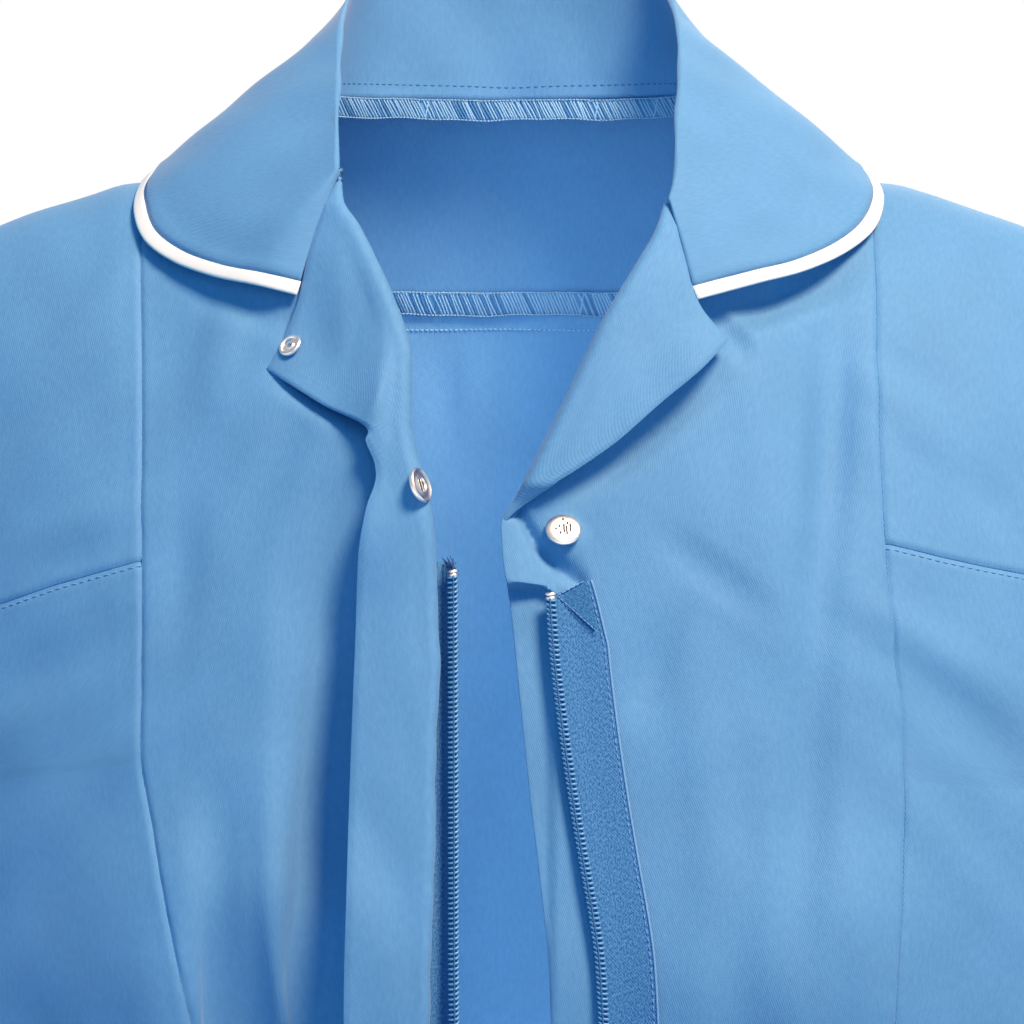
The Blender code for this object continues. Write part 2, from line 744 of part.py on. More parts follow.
def spline(a, b, c, d, t):
    """Catmull-Rom point between b and c."""
    return 0.5 * (2 * b + (c - a) * t + (2 * a - 5 * b + 4 * c - d) * t * t + (3 * b - a - 3 * c + d) * t ** 3)


def collar_and_piping():
    """The collar stops a piping's width short of its own edge, and the piping follows it."""
    profiles = collar_profiles()
    sections = refine(profiles, corner_counts(len(profiles) - 1))
    rows = []
    for section in sections:
        inward = (section[-2] - section[-1]).normalized()
        rows.append(section[:-2] + [section[-1] + inward * (PIPING_WIDTH + 2 * SEAM)])
    cloth("collar", rows, COLLAR_CLOTH, LIGHT_CLOTH)

    rings = []
    last = len(sections) - 1
    for k, section in enumerate(sections):
        edge = section[-1]
        inward = (section[-2] - edge).normalized()
        along = (sections[min(k + 1, last)][-1] - sections[max(k - 1, 0)][-1]).normalized()
        proud = inward.cross(along).normalized()
        middle = edge + inward * PIPING_WIDTH / 2
        ring = []
        for corner in range(8):
            turn = 2 * math.pi * (corner + 0.5) / 8
            flat = PIPING_WIDTH / 2 * math.cos(turn) / math.cos(math.pi / 8)
            ring.append(middle + inward * flat + proud * PIPING_DEPTH / 2 * math.sin(turn))
        rings.append(ring)
    rod("collar_piping", rings, PIPING)


# Zip

def zip_layer_point(x, z, proud=0.0):
    return Vector((x, form_front(x, z) - proud, z))


def coil(side, name):
    top = ZIP_TOP_RIGHT if side == RIGHT else ZIP_TOP_LEFT
    heights = levels((top / MM - 4, -440, -470, ZIP_FOOT / MM), (19, 4, 33))
    rings = []
    for z in heights:
        x = COIL[side](z)
        meshed = step(-452 * MM, -464 * MM, z)
        width = COIL_WIDTH + (MESHED_WIDTH - COIL_WIDTH) * meshed
        ring = []
        for corner in range(8):
            turn = 2 * math.pi * corner / 8
            ring.append(zip_layer_point(x + width / 2 * math.cos(turn), z, COIL_DEPTH / 2 * math.sin(turn)))
        rings.append(ring)
    rod(name, rings, COIL_PLASTIC)


def tape(side, name):
    """The tape starts beside its coil and is sewn down along its outer edge."""
    top = ZIP_TOP_RIGHT if side == RIGHT else ZIP_TOP_LEFT
    heights = levels((top / MM, -430, -490, ZIP_FOOT / MM), (20, 10, 30))
    grid = []
    for z in heights:
        width = TAPE_WIDTH
        if side == LEFT:
            width *= 0.76 + 0.24 * step(-152 * MM, -172 * MM, z)
        meshed = step(-452 * MM, -464 * MM, z)
        half_coil = (COIL_WIDTH + (MESHED_WIDTH - COIL_WIDTH) * meshed) / 2
        row = []
        for k in range(4):
            x = COIL[side](z) + side * (half_coil + 2 * SEAM + width * k / 3)
            start = form_front(x, z)
            sewn = front_point(side, x, z, side * 2.1 * MM).y
            share = min(1.0, k / 2)
            row.append(Vector((x, start + (sewn - start) * share, z)))
        grid.append(row)
    cloth(name, grid, TAPE_CLOTH, TAPE)


def box(name, size, centre, material):
    bpy.ops.mesh.primitive_cube_add(size=1, location=centre)
    thing = bpy.context.object
    thing.name = name
    thing.scale = size
    bpy.ops.object.transform_apply(location=False, rotation=False, scale=True)
    for owner in list(thing.users_collection):
        owner.objects.unlink(thing)
    PARTS.objects.link(thing)
    thing.data.name = name
    thing.data.materials.append(material)
    return thing


def union(base, others):
    """Join solids into one body and remove what was joined."""
    for other in others:
        joined = base.modifiers.new("join", "BOOLEAN")
        joined.operation = "UNION"
        joined.object = other
    view = bpy.context.evaluated_depsgraph_get()
    mesh = bpy.data.meshes.new_from_object(base.evaluated_get(view))
    base.modifiers.clear()
    base.data = mesh
    for other in others:
        bpy.data.objects.remove(other, do_unlink=True)
    return base


def slider_and_tab():
    """A slider of two plates and a wedge, with a bridge that holds the pull tab's eye."""
    face = form_front(0, SLIDER_Z)
    plate = 1.1 * MM
    gap = COIL_DEPTH / 2 + 0.55 * MM
    front_plate = box("slider", (SLIDER_WIDTH, plate, SLIDER_HEIGHT),
                      (0, face - gap - plate / 2, SLIDER_Z), METAL)
    back_plate = box("back_plate", (SLIDER_WIDTH, plate, SLIDER_HEIGHT),
                     (0, face + gap + plate / 2, SLIDER_Z), METAL)
    wedge = box("wedge", (1.4 * MM, 2 * gap + plate, 2.4 * MM),
                (0, face, SLIDER_Z + SLIDER_HEIGHT / 2 - 1.3 * MM), METAL)
    bridge_room = 2.0 * MM
    bridge_wall = 1.0 * MM
    bridge_half = 3.4 * MM
    outer_face = face - gap - plate
    bridge_bar = box("bridge_bar", (1.6 * MM, bridge_wall, 2 * bridge_half + 2 * bridge_wall),
                     (0, outer_face - bridge_room - bridge_wall / 2, SLIDER_Z), METAL)
    feet = []
    for up in (-1, 1):
        foot_z = SLIDER_Z + up * (bridge_half + bridge_wall / 2)
        feet.append(box("bridge_foot", (1.6 * MM, bridge_room + bridge_wall + plate, bridge_wall),
                        (0, outer_face - (bridge_room + bridge_wall - plate) / 2, foot_z), METAL))
    union(front_plate, [back_plate, wedge, bridge_bar] + feet)

    pivot = Vector((0, outer_face - bridge_room / 2, SLIDER_Z))
    eye_bar = 0.6 * MM
    window = 5.6 * MM
    side_bar = (TAB_WIDTH - 2.8 * MM) / 2
    bpy.ops.mesh.primitive_cylinder_add(vertices=12, radius=eye_bar, depth=TAB_WIDTH,
                                        location=pivot, rotation=(0, math.pi / 2, 0))
    eye = bpy.context.object
    eye.name = "pull_tab"
    eye.data.name = "pull_tab"
    for owner in list(eye.users_collection):
        owner.objects.unlink(eye)
    PARTS.objects.link(eye)
    eye.data.materials.append(METAL)
    bars = []
    for way in (-1, 1):
        bars.append(box("side_bar", (side_bar, 1.1 * MM, window + 1.5 * MM),
                        (way * (TAB_WIDTH - side_bar) / 2, pivot.y, pivot.z - (window + 1.5 * MM) / 2), METAL))
    blade = box("blade", (TAB_WIDTH, 1.1 * MM, TAB_LENGTH - window),
                (0, pivot.y, pivot.z - window - (TAB_LENGTH - window) / 2), METAL)
    union(eye, bars + [blade])
    return pivot


def stud(name, radius, depth, centre, facing, hole=0.0):
    """A round press-stud part: half of its section, turned about its own axis."""
    rim = radius * 0.86
    profile = [(hole, depth / 2), (rim, depth / 2), (radius, depth / 6), (radius, -depth / 2),
               (hole, -depth / 2)]
    edges = [(k, k + 1) for k in range(len(profile) - 1)]
    if hole:
        edges.append((len(profile) - 1, 0))
    mesh = bpy.data.meshes.new(name)
    mesh.from_pydata([(far, 0, high) for far, high in profile], edges, [])
    thing = add_object(name, mesh, METAL)
    screw = thing.modifiers.new("turned", "SCREW")
    screw.steps = 24
    screw.render_steps = 24
    screw.use_merge_vertices = True
    screw.merge_threshold = 0.00001
    thing.location = centre
    thing.rotation_euler = Vector(facing).to_track_quat("Z", "Y").to_euler()
    return thing


def press_studs():
    """The studs at the neck: a ring on the lapel, a socket on the fold, a cap on the left."""
    x, z = RING_PLACE
    facing = outward_at(lapel_point, RIGHT, x, z)
    away = DOUBLE_CLOTH / 2 + RING_DEPTH / 2 + STUD_GAP
    stud("stud_ring_lapel", RING_RADIUS, RING_DEPTH, lapel_point(RIGHT, x, z) + facing * away, facing,
         RING_HOLE)

    z = SOCKET_Z
    radius = FOLD_RADIUS(z)
    fold_x = FOLD[RIGHT](z) - radius
    fold = Vector((fold_x, form_front(fold_x, z) + layer(RIGHT, fold_x, z) - radius, z))
    facing = Vector(SOCKET_FACING).normalized()
    away = radius + DOUBLE_CLOTH / 2 + SOCKET_DEPTH / 2 + STUD_GAP
    stud("stud_socket_fold", STUD_RADIUS, SOCKET_DEPTH, fold + facing * away, facing, SOCKET_HOLE)

    x, z = CAP_PLACE
    facing = outward_at(front_point, LEFT, x, z)
    away = CLOTH / 2 + CAP_DEPTH / 2 + STUD_GAP
    stud("stud_cap_left", STUD_RADIUS, CAP_DEPTH, front_point(LEFT, x, z) + facing * away, facing)


def zip_ends():
    """A metal clip at the top of each coil, and the box that closes the zip's foot."""
    foot = ZIP_FOOT - ZIP_BOX_HEIGHT / 2 - 2 * SEAM
    box("zip_foot_box", (2 * MESHED_WIDTH + 1 * MM, COIL_DEPTH, ZIP_BOX_HEIGHT),
        (0, form_front(0, foot), foot), METAL)
    for side, name, top in ((RIGHT, "zip_stop_right", ZIP_TOP_RIGHT), (LEFT, "zip_stop_left", ZIP_TOP_LEFT)):
        z = top - 1.9 * MM
        x = COIL[side](z)
        box(name, (COIL_WIDTH, COIL_DEPTH, 3.0 * MM), (x, form_front(x, z), z), METAL)


clear_scene()
PARTS = bpy.data.collections.new("zip_front_tunic")
bpy.context.scene.collection.children.link(PARTS)
LIGHT_CLOTH = make_material("tunic_cloth", PALE_BLUE, 0.8)
FACING_CLOTH = make_material("facing_cloth", PALE_BLUE, 0.8)
TAPE = make_material("zip_tape", DEEP_BLUE, 0.75)
COIL_PLASTIC = make_material("zip_coil", DEEP_BLUE, 0.45)
PIPING = make_material("white_piping", WHITE, 0.75)
METAL = make_material("nickel", STEEL, 0.3, 1.0)

front_centre(RIGHT, "front_centre_right")
front_centre(LEFT, "front_centre_left")
front_yoke(RIGHT, "front_yoke_right")
front_yoke(LEFT, "front_yoke_left")
front_side(RIGHT, "front_side_right")
front_side(LEFT, "front_side_left")
back_yoke()
back_panel()
facing_right()
facing_left()
sleeve(RIGHT, "sleeve_right")
sleeve(LEFT, "sleeve_left")
collar_and_piping()
tape(RIGHT, "zip_tape_right")
tape(LEFT, "zip_tape_left")
coil(RIGHT, "zip_coil_right")
coil(LEFT, "zip_coil_left")
zip_ends()
slider_and_tab()
press_studs()
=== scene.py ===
# %% [markdown]
# # Dressing a zip-front work tunic
#
# The imported model holds every cut and sewn piece of the tunic at its real size, but with thick
# plain walls. A real tunic is thin twill with seams, stitches, a coil zip and soft creases.
# Each cell below makes one of these things. Cloth is made as thin shells on the same form
# as the imported pieces, because that keeps every edge where the maker put it. Cloth simulation
# would move the edges, and the creases of one worn moment are easier to place one by one.

import math

import bpy
import numpy as np
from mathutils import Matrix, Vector


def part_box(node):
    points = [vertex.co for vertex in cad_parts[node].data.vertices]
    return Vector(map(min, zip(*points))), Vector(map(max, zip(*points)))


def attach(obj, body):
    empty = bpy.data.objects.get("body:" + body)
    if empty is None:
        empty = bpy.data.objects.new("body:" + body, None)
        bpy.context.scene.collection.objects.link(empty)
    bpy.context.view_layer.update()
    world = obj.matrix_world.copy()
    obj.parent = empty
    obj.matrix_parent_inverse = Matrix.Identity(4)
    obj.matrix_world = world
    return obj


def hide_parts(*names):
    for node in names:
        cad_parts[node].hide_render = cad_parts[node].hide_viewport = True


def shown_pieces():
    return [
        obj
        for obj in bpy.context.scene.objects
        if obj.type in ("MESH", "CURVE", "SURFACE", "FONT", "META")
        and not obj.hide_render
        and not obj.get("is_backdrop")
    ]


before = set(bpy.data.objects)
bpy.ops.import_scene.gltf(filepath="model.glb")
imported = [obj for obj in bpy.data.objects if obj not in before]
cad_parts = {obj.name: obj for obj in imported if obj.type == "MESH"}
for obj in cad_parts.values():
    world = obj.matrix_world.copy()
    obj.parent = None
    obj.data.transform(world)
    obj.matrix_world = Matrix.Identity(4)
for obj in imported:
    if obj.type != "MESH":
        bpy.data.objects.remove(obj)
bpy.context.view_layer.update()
MM = 0.001
RIGHT = -1                # the wearer's right, at -X
LEFT = 1                  # the wearer's left, at +X
print("packed nodes:", len(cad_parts))

# %% [markdown]
# ## Camera, light and floor
#
# The picture is a close view from straight ahead, at the height of the chest. A long lens from
# over two metres away keeps the sides from bulging. The main light is a warm soft lamp, up and
# to the right. Weaker lamps stand in front, behind and inside the garment, and a dim bluish room
# fills the shadows. The camera and shiny metal see that room white, so the background is white
# while the creases keep their shade. The floor glows a little, to be as white as the room.

# %% Camera
EYE = (0.9 * MM, -2310 * MM, -130.6 * MM)
VIEW_DISTANCE = 2200 * MM
VIEW_WIDTH = 305 * MM

camera_data = bpy.data.cameras.new("front_camera")
camera_data.sensor_width = 36
camera_data.lens = camera_data.sensor_width * VIEW_DISTANCE / VIEW_WIDTH
camera_data.clip_start = 0.1
camera_data.clip_end = 60
camera = bpy.data.objects.new("front_camera", camera_data)
camera.location = EYE
camera.rotation_euler = (math.pi / 2, 0, 0)
bpy.context.scene.collection.objects.link(camera)
bpy.context.scene.camera = camera
print("lens:", round(camera_data.lens, 1), "mm")

# %% The room
ROOM_LIGHT = 0.50         # strength of the room's light on the cloth
SEEN_ROOM = 1.0           # its strength as the camera sees it
ROOM_COLOUR = (0.09, 0.56, 1.0, 1)
WHITE = (1, 1, 1, 1)

bpy.context.scene.view_settings.view_transform = "Standard"
world = bpy.data.worlds.new("white_room")
world.use_nodes = True
bpy.context.scene.world = world
room = world.node_tree
background = room.nodes["Background"]
path = room.nodes.new("ShaderNodeLightPath")
brightness = room.nodes.new("ShaderNodeMix")
brightness.inputs["A"].default_value = ROOM_LIGHT
brightness.inputs["B"].default_value = SEEN_ROOM
tone = room.nodes.new("ShaderNodeMix")
tone.data_type = "RGBA"
tone.inputs["A"].default_value = ROOM_COLOUR
tone.inputs["B"].default_value = WHITE
seen_white = room.nodes.new("ShaderNodeMath")
seen_white.operation = "MAXIMUM"
room.links.new(path.outputs["Is Camera Ray"], seen_white.inputs[0])
room.links.new(path.outputs["Is Glossy Ray"], seen_white.inputs[1])
room.links.new(path.outputs["Is Camera Ray"], brightness.inputs["Factor"])
room.links.new(seen_white.outputs["Value"], tone.inputs["Factor"])
for mixer, target in ((brightness, "Strength"), (tone, "Color")):
    room.links.new(mixer.outputs["Result"], background.inputs[target])
print("room light:", ROOM_LIGHT)


# %% Lamps and floor
def lamp(name, place, aim, size, power, colour=(1, 1, 1)):
    """A round area lamp. Places and size are in metres, power in watts."""
    data = bpy.data.lights.new(name, "AREA")
    data.shape = "DISK"
    data.size = size
    data.energy = power
    data.color = colour
    thing = bpy.data.objects.new(name, data)
    thing.location = place
    thing.rotation_euler = (Vector(aim) - Vector(place)).to_track_quat("-Z", "Y").to_euler()
    bpy.context.scene.collection.objects.link(thing)
    return thing


lamp("key_lamp", (0.82, -1.3, 1.5), (0, 0, -0.2), 0.7, 80, (1.0, 0.71, 0.46))
lamp("front_lamp", (0.2, -2.7, 0.4), (0, 0, -0.2), 1.2, 4, (0.55, 0.82, 1.0))
lamp("back_lamp", (0.6, 2.4, 1.2), (0, 0, -0.3), 1.6, 30)
INSIDE_LAMP_HEIGHT = 540 * MM
INSIDE_LAMP_SPREAD = math.radians(95)
inside = lamp("inside_lamp", (0.015, -0.045, -0.29), (0.015, 0.1, -0.29), 0.1, 0.20, (0.70, 0.86, 0.94))
inside.data.shape = "RECTANGLE"
inside.data.size_y = INSIDE_LAMP_HEIGHT
inside.data.spread = INSIDE_LAMP_SPREAD
inside.visible_camera = False

FLOOR_HEIGHT = -760 * MM
FLOOR_RADIUS = 4500 * MM
FLOOR_GLOW = 0.68
bpy.ops.mesh.primitive_circle_add(vertices=96, radius=FLOOR_RADIUS, fill_type="NGON",
                                  location=(0, 0, FLOOR_HEIGHT))
floor = bpy.context.object
floor.name = "floor"
floor_finish = bpy.data.materials.new("floor_finish")
floor_finish.use_nodes = True
floor_shader = floor_finish.node_tree.nodes["Principled BSDF"]
floor_shader.inputs["Base Color"].default_value = (0.8, 0.8, 0.8, 1)
floor_shader.inputs["Roughness"].default_value = 0.9
floor_shader.inputs["Emission Color"].default_value = (1.0, 0.84, 0.74, 1)
floor_shader.inputs["Emission Strength"].default_value = FLOOR_GLOW
floor.data.materials.append(floor_finish)
floor.visible_diffuse = False    # its glow is seen but doesn't light the cloth
floor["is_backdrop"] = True
print("lamps:", len(bpy.data.lights))

# %% [markdown]
# ## Smooth curves from short tables
#
# A pattern cutter draws a seam through a few measured points. `Curve` does the same: it takes
# rows of two numbers in millimetres and bends a line through them without overshoot. It works
# on whole arrays at once, so thousands of points cost little.

# %% Curves and blends
class Curve:
    def __init__(self, rows):
        table = np.array(sorted(rows), float) * MM
        self.x, self.y = table[:, 0], table[:, 1]
        self.gap = np.diff(self.x)
        rise = np.diff(self.y) / self.gap
        product = rise[:-1] * rise[1:]
        total = np.where(product > 0, rise[:-1] + rise[1:], 1.0)
        middle = np.where(product > 0, 2 * product / total, 0.0)
        self.slope = np.concatenate(([rise[0]], middle, [rise[-1]]))

    def __call__(self, x):
        x = np.clip(x, self.x[0], self.x[-1])
        k = np.clip(np.searchsorted(self.x, x, side="right") - 1, 0, len(self.gap) - 1)
        gap = self.gap[k]
        t = (x - self.x[k]) / gap
        start = (1 + 2 * t) * (1 - t) ** 2 * self.y[k] + t * (1 - t) ** 2 * gap * self.slope[k]
        end = t * t * (3 - 2 * t) * self.y[k + 1] - t * t * (1 - t) * gap * self.slope[k + 1]
        return start + end


def bump(distance):
    """1 at 0, falling smoothly to 0 at 1."""
    return np.where(np.abs(distance) < 1, (1 - distance * distance) ** 2, 0.0)


def step(low, high, value):
    """0 before low, 1 past high, smooth between."""
    t = np.clip((value - low) / (high - low), 0, 1)
    return t * t * (3 - 2 * t)


# %% [markdown]
# ## The worn form
#
# The front, back and sides of the tunic follow one rounded body shape. Each level section is a
# flattened oval whose half width and depths come from a table of the garment's own sizes. The
# sections round over the shoulder towards the shoulder seam. The same tables made the packed
# pieces, so a shell that is built on them lies on its piece. Edges that the picture shows a
# little further in or out follow the picture, by a few millimetres at most.

# %% Sizes of the form
ROUNDNESS = 2.25
FRONT_ROLL = 160 * MM
BACK_ROLL = 120 * MM
HEM = -700 * MM
UNDERARM = -215 * MM
RIDGE_DROP = 0.0002 * MM  # keeps the shoulder seam's rows off the very top of the ridge
BEFORE_ZIP = 2.8 * MM
BEHIND_ZIP = 4.3 * MM
LAYER_REACH = 105 * MM
CUP_X = 88 * MM
CUP_Z = -262 * MM
CUP_SPREAD = 62 * MM
CUP_DEPTH = 7 * MM

HALF_WIDTH = Curve([(30, 205), (0, 205), (-60, 204), (-120, 203), (-215, 205), (-280, 203), (-340, 193),
                    (-420, 182), (-520, 197), (-620, 214), (-700, 221)])
FRONT_DEPTH = Curve([(30, 90), (0, 91), (-60, 94), (-120, 99), (-215, 112), (-280, 118), (-340, 114),
                     (-420, 106), (-520, 110), (-620, 118), (-700, 124)])
BACK_DEPTH = Curve([(30, 98), (0, 99), (-60, 101), (-120, 104), (-215, 102), (-280, 96), (-340, 88),
                    (-420, 82), (-520, 97), (-620, 111), (-700, 116)])
RIDGE = Curve([(0, 24), (30, 20), (50, 12), (68, -2), (90, -17), (105, -26), (114, -28.5), (120, -29),
               (129, -31.5), (139, -34.6), (149, -38), (159, -41.8), (186, -53), (205, -62)])
LARGE_FOLDS = [
    {"side": RIGHT, "x": 56, "top": -120, "foot": -345, "drift": 2, "spread": 17, "depth": 7},
    {"side": RIGHT, "x": 81, "top": -205, "foot": -370, "drift": -6, "spread": 15, "depth": 6},
    {"side": LEFT, "x": 95, "top": -52, "foot": -150, "drift": 6, "spread": 13, "depth": 3},
    {"side": LEFT, "x": 74, "top": -215, "foot": -380, "drift": -8, "spread": 16, "depth": 4},
]


def oval(x, z):
    share = np.minimum(1.0, np.abs(x) / HALF_WIDTH(z))
    return np.maximum(0.0, 1 - share ** ROUNDNESS) ** (1 / ROUNDNESS)


def over_shoulder(x, z, roll):
    drop = np.clip(RIDGE(np.abs(x)) - z, 0, roll)
    return np.sqrt(1 - (1 - drop / roll) ** 2)


def form_front(x, z):
    cup = CUP_DEPTH * bump(np.hypot(np.abs(x) - CUP_X, z - CUP_Z) / CUP_SPREAD)
    return -(FRONT_DEPTH(z) * oval(x, z) * over_shoulder(x, z, FRONT_ROLL) + cup)


def form_back(x, z):
    return BACK_DEPTH(z) * oval(x, z) * over_shoulder(x, z, BACK_ROLL)


def large_folds(x, z):
    depth = 0.0 * x
    for fold in LARGE_FOLDS:
        foot = fold["foot"] * MM
        along = np.clip((z - foot) / (fold["top"] * MM - foot), 0, 1)
        middle = fold["side"] * (fold["x"] + fold["drift"] * (1 - along)) * MM
        across = (x - middle) / (fold["spread"] * MM)
        depth = depth + fold["depth"] * MM * bump(across) * np.sin(math.pi * along)
    return depth


def layer(side, x, z):
    """The right front lies before the zip and the left one behind it."""
    near = bump(np.minimum(1.0, np.abs(x) / LAYER_REACH)) * step(-40 * MM, -110 * MM, z)
    return -BEFORE_ZIP * near if side == RIGHT else BEHIND_ZIP * near


def angle_at(x, z):
    """Place on a level section: 0 at the centre, a quarter turn at the side seam."""
    share = np.minimum(1.0, np.abs(x) / HALF_WIDTH(z))
    return np.copysign(np.arcsin(share ** (ROUNDNESS / 2)), x)


def x_at(angle, z):
    return np.copysign(HALF_WIDTH(z) * np.abs(np.sin(angle)) ** (2 / ROUNDNESS), angle)


def arc_from_drop(drop, roll):
    drop = np.maximum(0, drop)
    rounded = roll * np.arccos(np.clip(1 - drop / roll, -1, 1))
    return np.where(drop < roll, rounded, roll * math.pi / 2 + drop - roll)


def drop_from_arc(arc, roll):
    quarter = roll * math.pi / 2
    return np.where(arc < quarter, roll * (1 - np.cos(arc / roll)), arc - quarter + roll)


print("depth of the front at the chest:", round(float(-form_front(0.0, -0.26)) * 1000), "mm")

# %% [markdown]
# ## Creases
#
# A crease is a soft trough or ridge on the cloth. Each row of the tables gives the x and z of
# its middle, its lean from upright in degrees, its length, its width and its height, in
# millimetres. A trough has a negative height. Their middles come from the picture on the front,
# and similar ones are set on the hidden sides. Uneven lengths and heights keep them from
# looking stamped.

# %% Crease tables
FRONT_CREASES = [
    # the wearer's right front, image left
    (-51, -205, 2, 190, 14, -5.4),
    (-58, -270, 2, 190, 15, -3.4),
    (-76, -296, 0, 118, 34, -7.0),
    (-89, -262, 1, 116, 10, -2.2),
    (-76, -70, -72, 54, 8, -1.2),
    (-54, -96, -60, 50, 8, -2.8),
    (-60, -78, 0, 42, 11, -1.3),
    (-70, -118, 24, 70, 9, -0.7),
    (-86, -78, 12, 60, 9, 0.7),
    (-98, -150, 4, 90, 9, -0.6),
    (-128, -134, 70, 60, 9, 0.9),
    (-140, -98, 52, 80, 8, -0.6),
    (-126, -66, 38, 60, 8, 0.5),
    (-136, -176, 62, 90, 12, -1.1),
    (-128, -214, 48, 110, 12, 0.9),
    (-142, -248, 36, 120, 12, -1.0),
    # the wearer's left front, image right
    (95, -132, 4, 150, 10, -2.3),
    (82, -64, 70, 64, 11, -4.8),
    (66, -74, -28, 36, 5, -2.4),
    (42, -106, 50, 80, 8, -3.0),
    (76, -112, -4, 150, 12, 0.9),
    (44, -176, 22, 50, 8, -1.1),
    (62, -150, -52, 60, 8, -0.7),
    (58, -205, -8, 110, 11, 0.8),
    (88, -228, 4, 150, 11, -2.2),
    (104, -252, -2, 90, 8, 0.8),
    (126, -104, -46, 70, 10, 1.0),
    (140, -118, -30, 60, 9, -0.8),
    (122, -88, -60, 50, 8, -0.5),
    (128, -172, -58, 90, 10, 1.0),
    (140, -196, -50, 120, 12, -1.1),
    (132, -232, -38, 110, 11, 0.9),
    # below the frame
    (-60, -430, 6, 150, 16, -2.4),
    (-118, -410, 20, 130, 14, -2.0),
    (-40, -560, -4, 200, 15, 1.6),
    (-128, -590, 5, 190, 18, 2.2),
    (60, -440, -8, 140, 15, -2.2),
    (124, -402, -24, 120, 13, -1.9),
    (46, -590, 3, 190, 16, 1.5),
    (132, -600, -6, 180, 18, 2.1),
    (-160, -360, 64, 110, 17, -1.5),
    (-156, -398, 76, 100, 15, 1.1),
    (162, -352, -60, 120, 17, -1.4),
    (156, -394, -74, 100, 15, 1.0),
]
BACK_CREASES = [
    (-30, -96, 1, 52, 5, -0.8),
    (-21, -92, -1, 44, 4.5, 0.8),
    (-12, -93, 2, 46, 5, -0.9),
    (4, -92, 0, 40, 5, -0.7),
    (19, -95, -2, 48, 5, 0.6),
    (-70, -150, 12, 110, 14, -1.2),
    (64, -162, -14, 120, 14, -1.3),
    (-128, -170, 30, 120, 12, 1.4),
    (132, -176, -28, 120, 12, 1.3),
    (-30, -372, 76, 130, 9, -1.9),
    (36, -398, -80, 120, 9, -1.7),
    (-88, -412, 60, 110, 10, -1.6),
    (92, -384, -62, 110, 10, -1.8),
    (-112, -250, 24, 150, 17, -1.9),
    (104, -262, -20, 160, 18, -2.1),
    (-58, -480, 10, 160, 16, -1.7),
    (52, -500, -8, 150, 15, -1.6),
    (-10, -350, 88, 150, 10, 1.3),
    (12, -428, 84, 130, 11, 1.4),
    (-150, -356, 56, 110, 11, -1.9),
    (152, -362, -58, 110, 11, -1.8),
    (-90, -590, 4, 200, 18, 2.2),
    (-20, -600, -2, 180, 17, -1.8),
    (70, -585, -4, 200, 18, 2.0),
    (140, -600, -6, 180, 17, -1.6),
    (-150, -610, 6, 170, 16, -1.5),
]


# %% The height of creases
def crease(dx, dz, lean, length, width, height):
    """Height of one crease, by the offsets of a point from its middle."""
    tilt = math.radians(lean)
    along = (dz * math.cos(tilt) + dx * math.sin(tilt)) / (length * MM / 2)
    across = (dx * math.cos(tilt) - dz * math.sin(tilt)) / (width * MM)
    return height * MM * bump(along) * bump(across)


def creases(x, z, table, strength):
    """Height of all creases of a table at each point."""
    total = 0.0 * x
    for middle_x, middle_z, *shape in table:
        total = total + strength * crease(x - middle_x * MM, z - middle_z * MM, *shape)
    return total


def unevenness(x, z, size=0.22 * MM):
    """Slow, irregular waves that no cloth is free of."""
    waves = ((31, 17, 0.3), (-19, 37, 1.9), (57, -23, 4.1), (13, 61, 2.6), (-71, -41, 5.2))
    total = sum(np.sin(2 * math.pi * (x * a + z * b) * 0.45 + c) for a, b, c in waves)
    return total * size / 2


print("creases:", len(FRONT_CREASES), "on the front,", len(BACK_CREASES), "on the back")

# %% [markdown]
# ## Panels as grids
#
# A sewn panel is a grid of points. It knows how far each point is from its four edges, because
# stitches and seams are placed by those distances. Points crowd together beside a seam, where
# the cloth bends most, and spread out in the middle, which saves triangles. The wall comes from
# a Solidify modifier, whose inner face lies inside the garment.

# %% The panel class
SEAM_STEPS = np.array([0, 0.4, 0.8, 1.3, 1.9, 2.7, 3.8, 5.2]) * MM


def stations(length, pitch, first=True, last=True):
    """Shares from 0 to 1 along a panel, closer together beside a sewn edge."""
    start = SEAM_STEPS if first else np.array([0.0])
    end = length - (SEAM_STEPS if last else np.array([0.0]))[::-1]
    count = max(1, round((end[0] - start[-1]) / pitch))
    middle = np.linspace(start[-1], end[0], count + 1)[1:-1]
    return np.concatenate((start, middle, end)) / length


def lengths(points, axis):
    """Distance of each point from the first one along a grid's rows or columns."""
    gaps = np.linalg.norm(np.diff(points, axis=axis), axis=2)
    total = np.cumsum(gaps, axis=axis)
    first = np.zeros_like(total[:1]) if axis == 0 else np.zeros_like(total[:, :1])
    return np.concatenate((first, total), axis=axis)


def at_distance(points, normals, reach, distance, backwards):
    """Points and normals where the reach down each column of a grid equals a distance."""
    if backwards:
        points, normals, reach = points[::-1], normals[::-1], reach[::-1]
    places, ways = [], []
    for c in range(points.shape[1]):
        places.append([np.interp(distance, reach[:, c], points[:, c, k]) for k in range(3)])
        ways.append([np.interp(distance, reach[:, c], normals[:, c, k]) for k in range(3)])
    return np.array(places), np.array(ways)


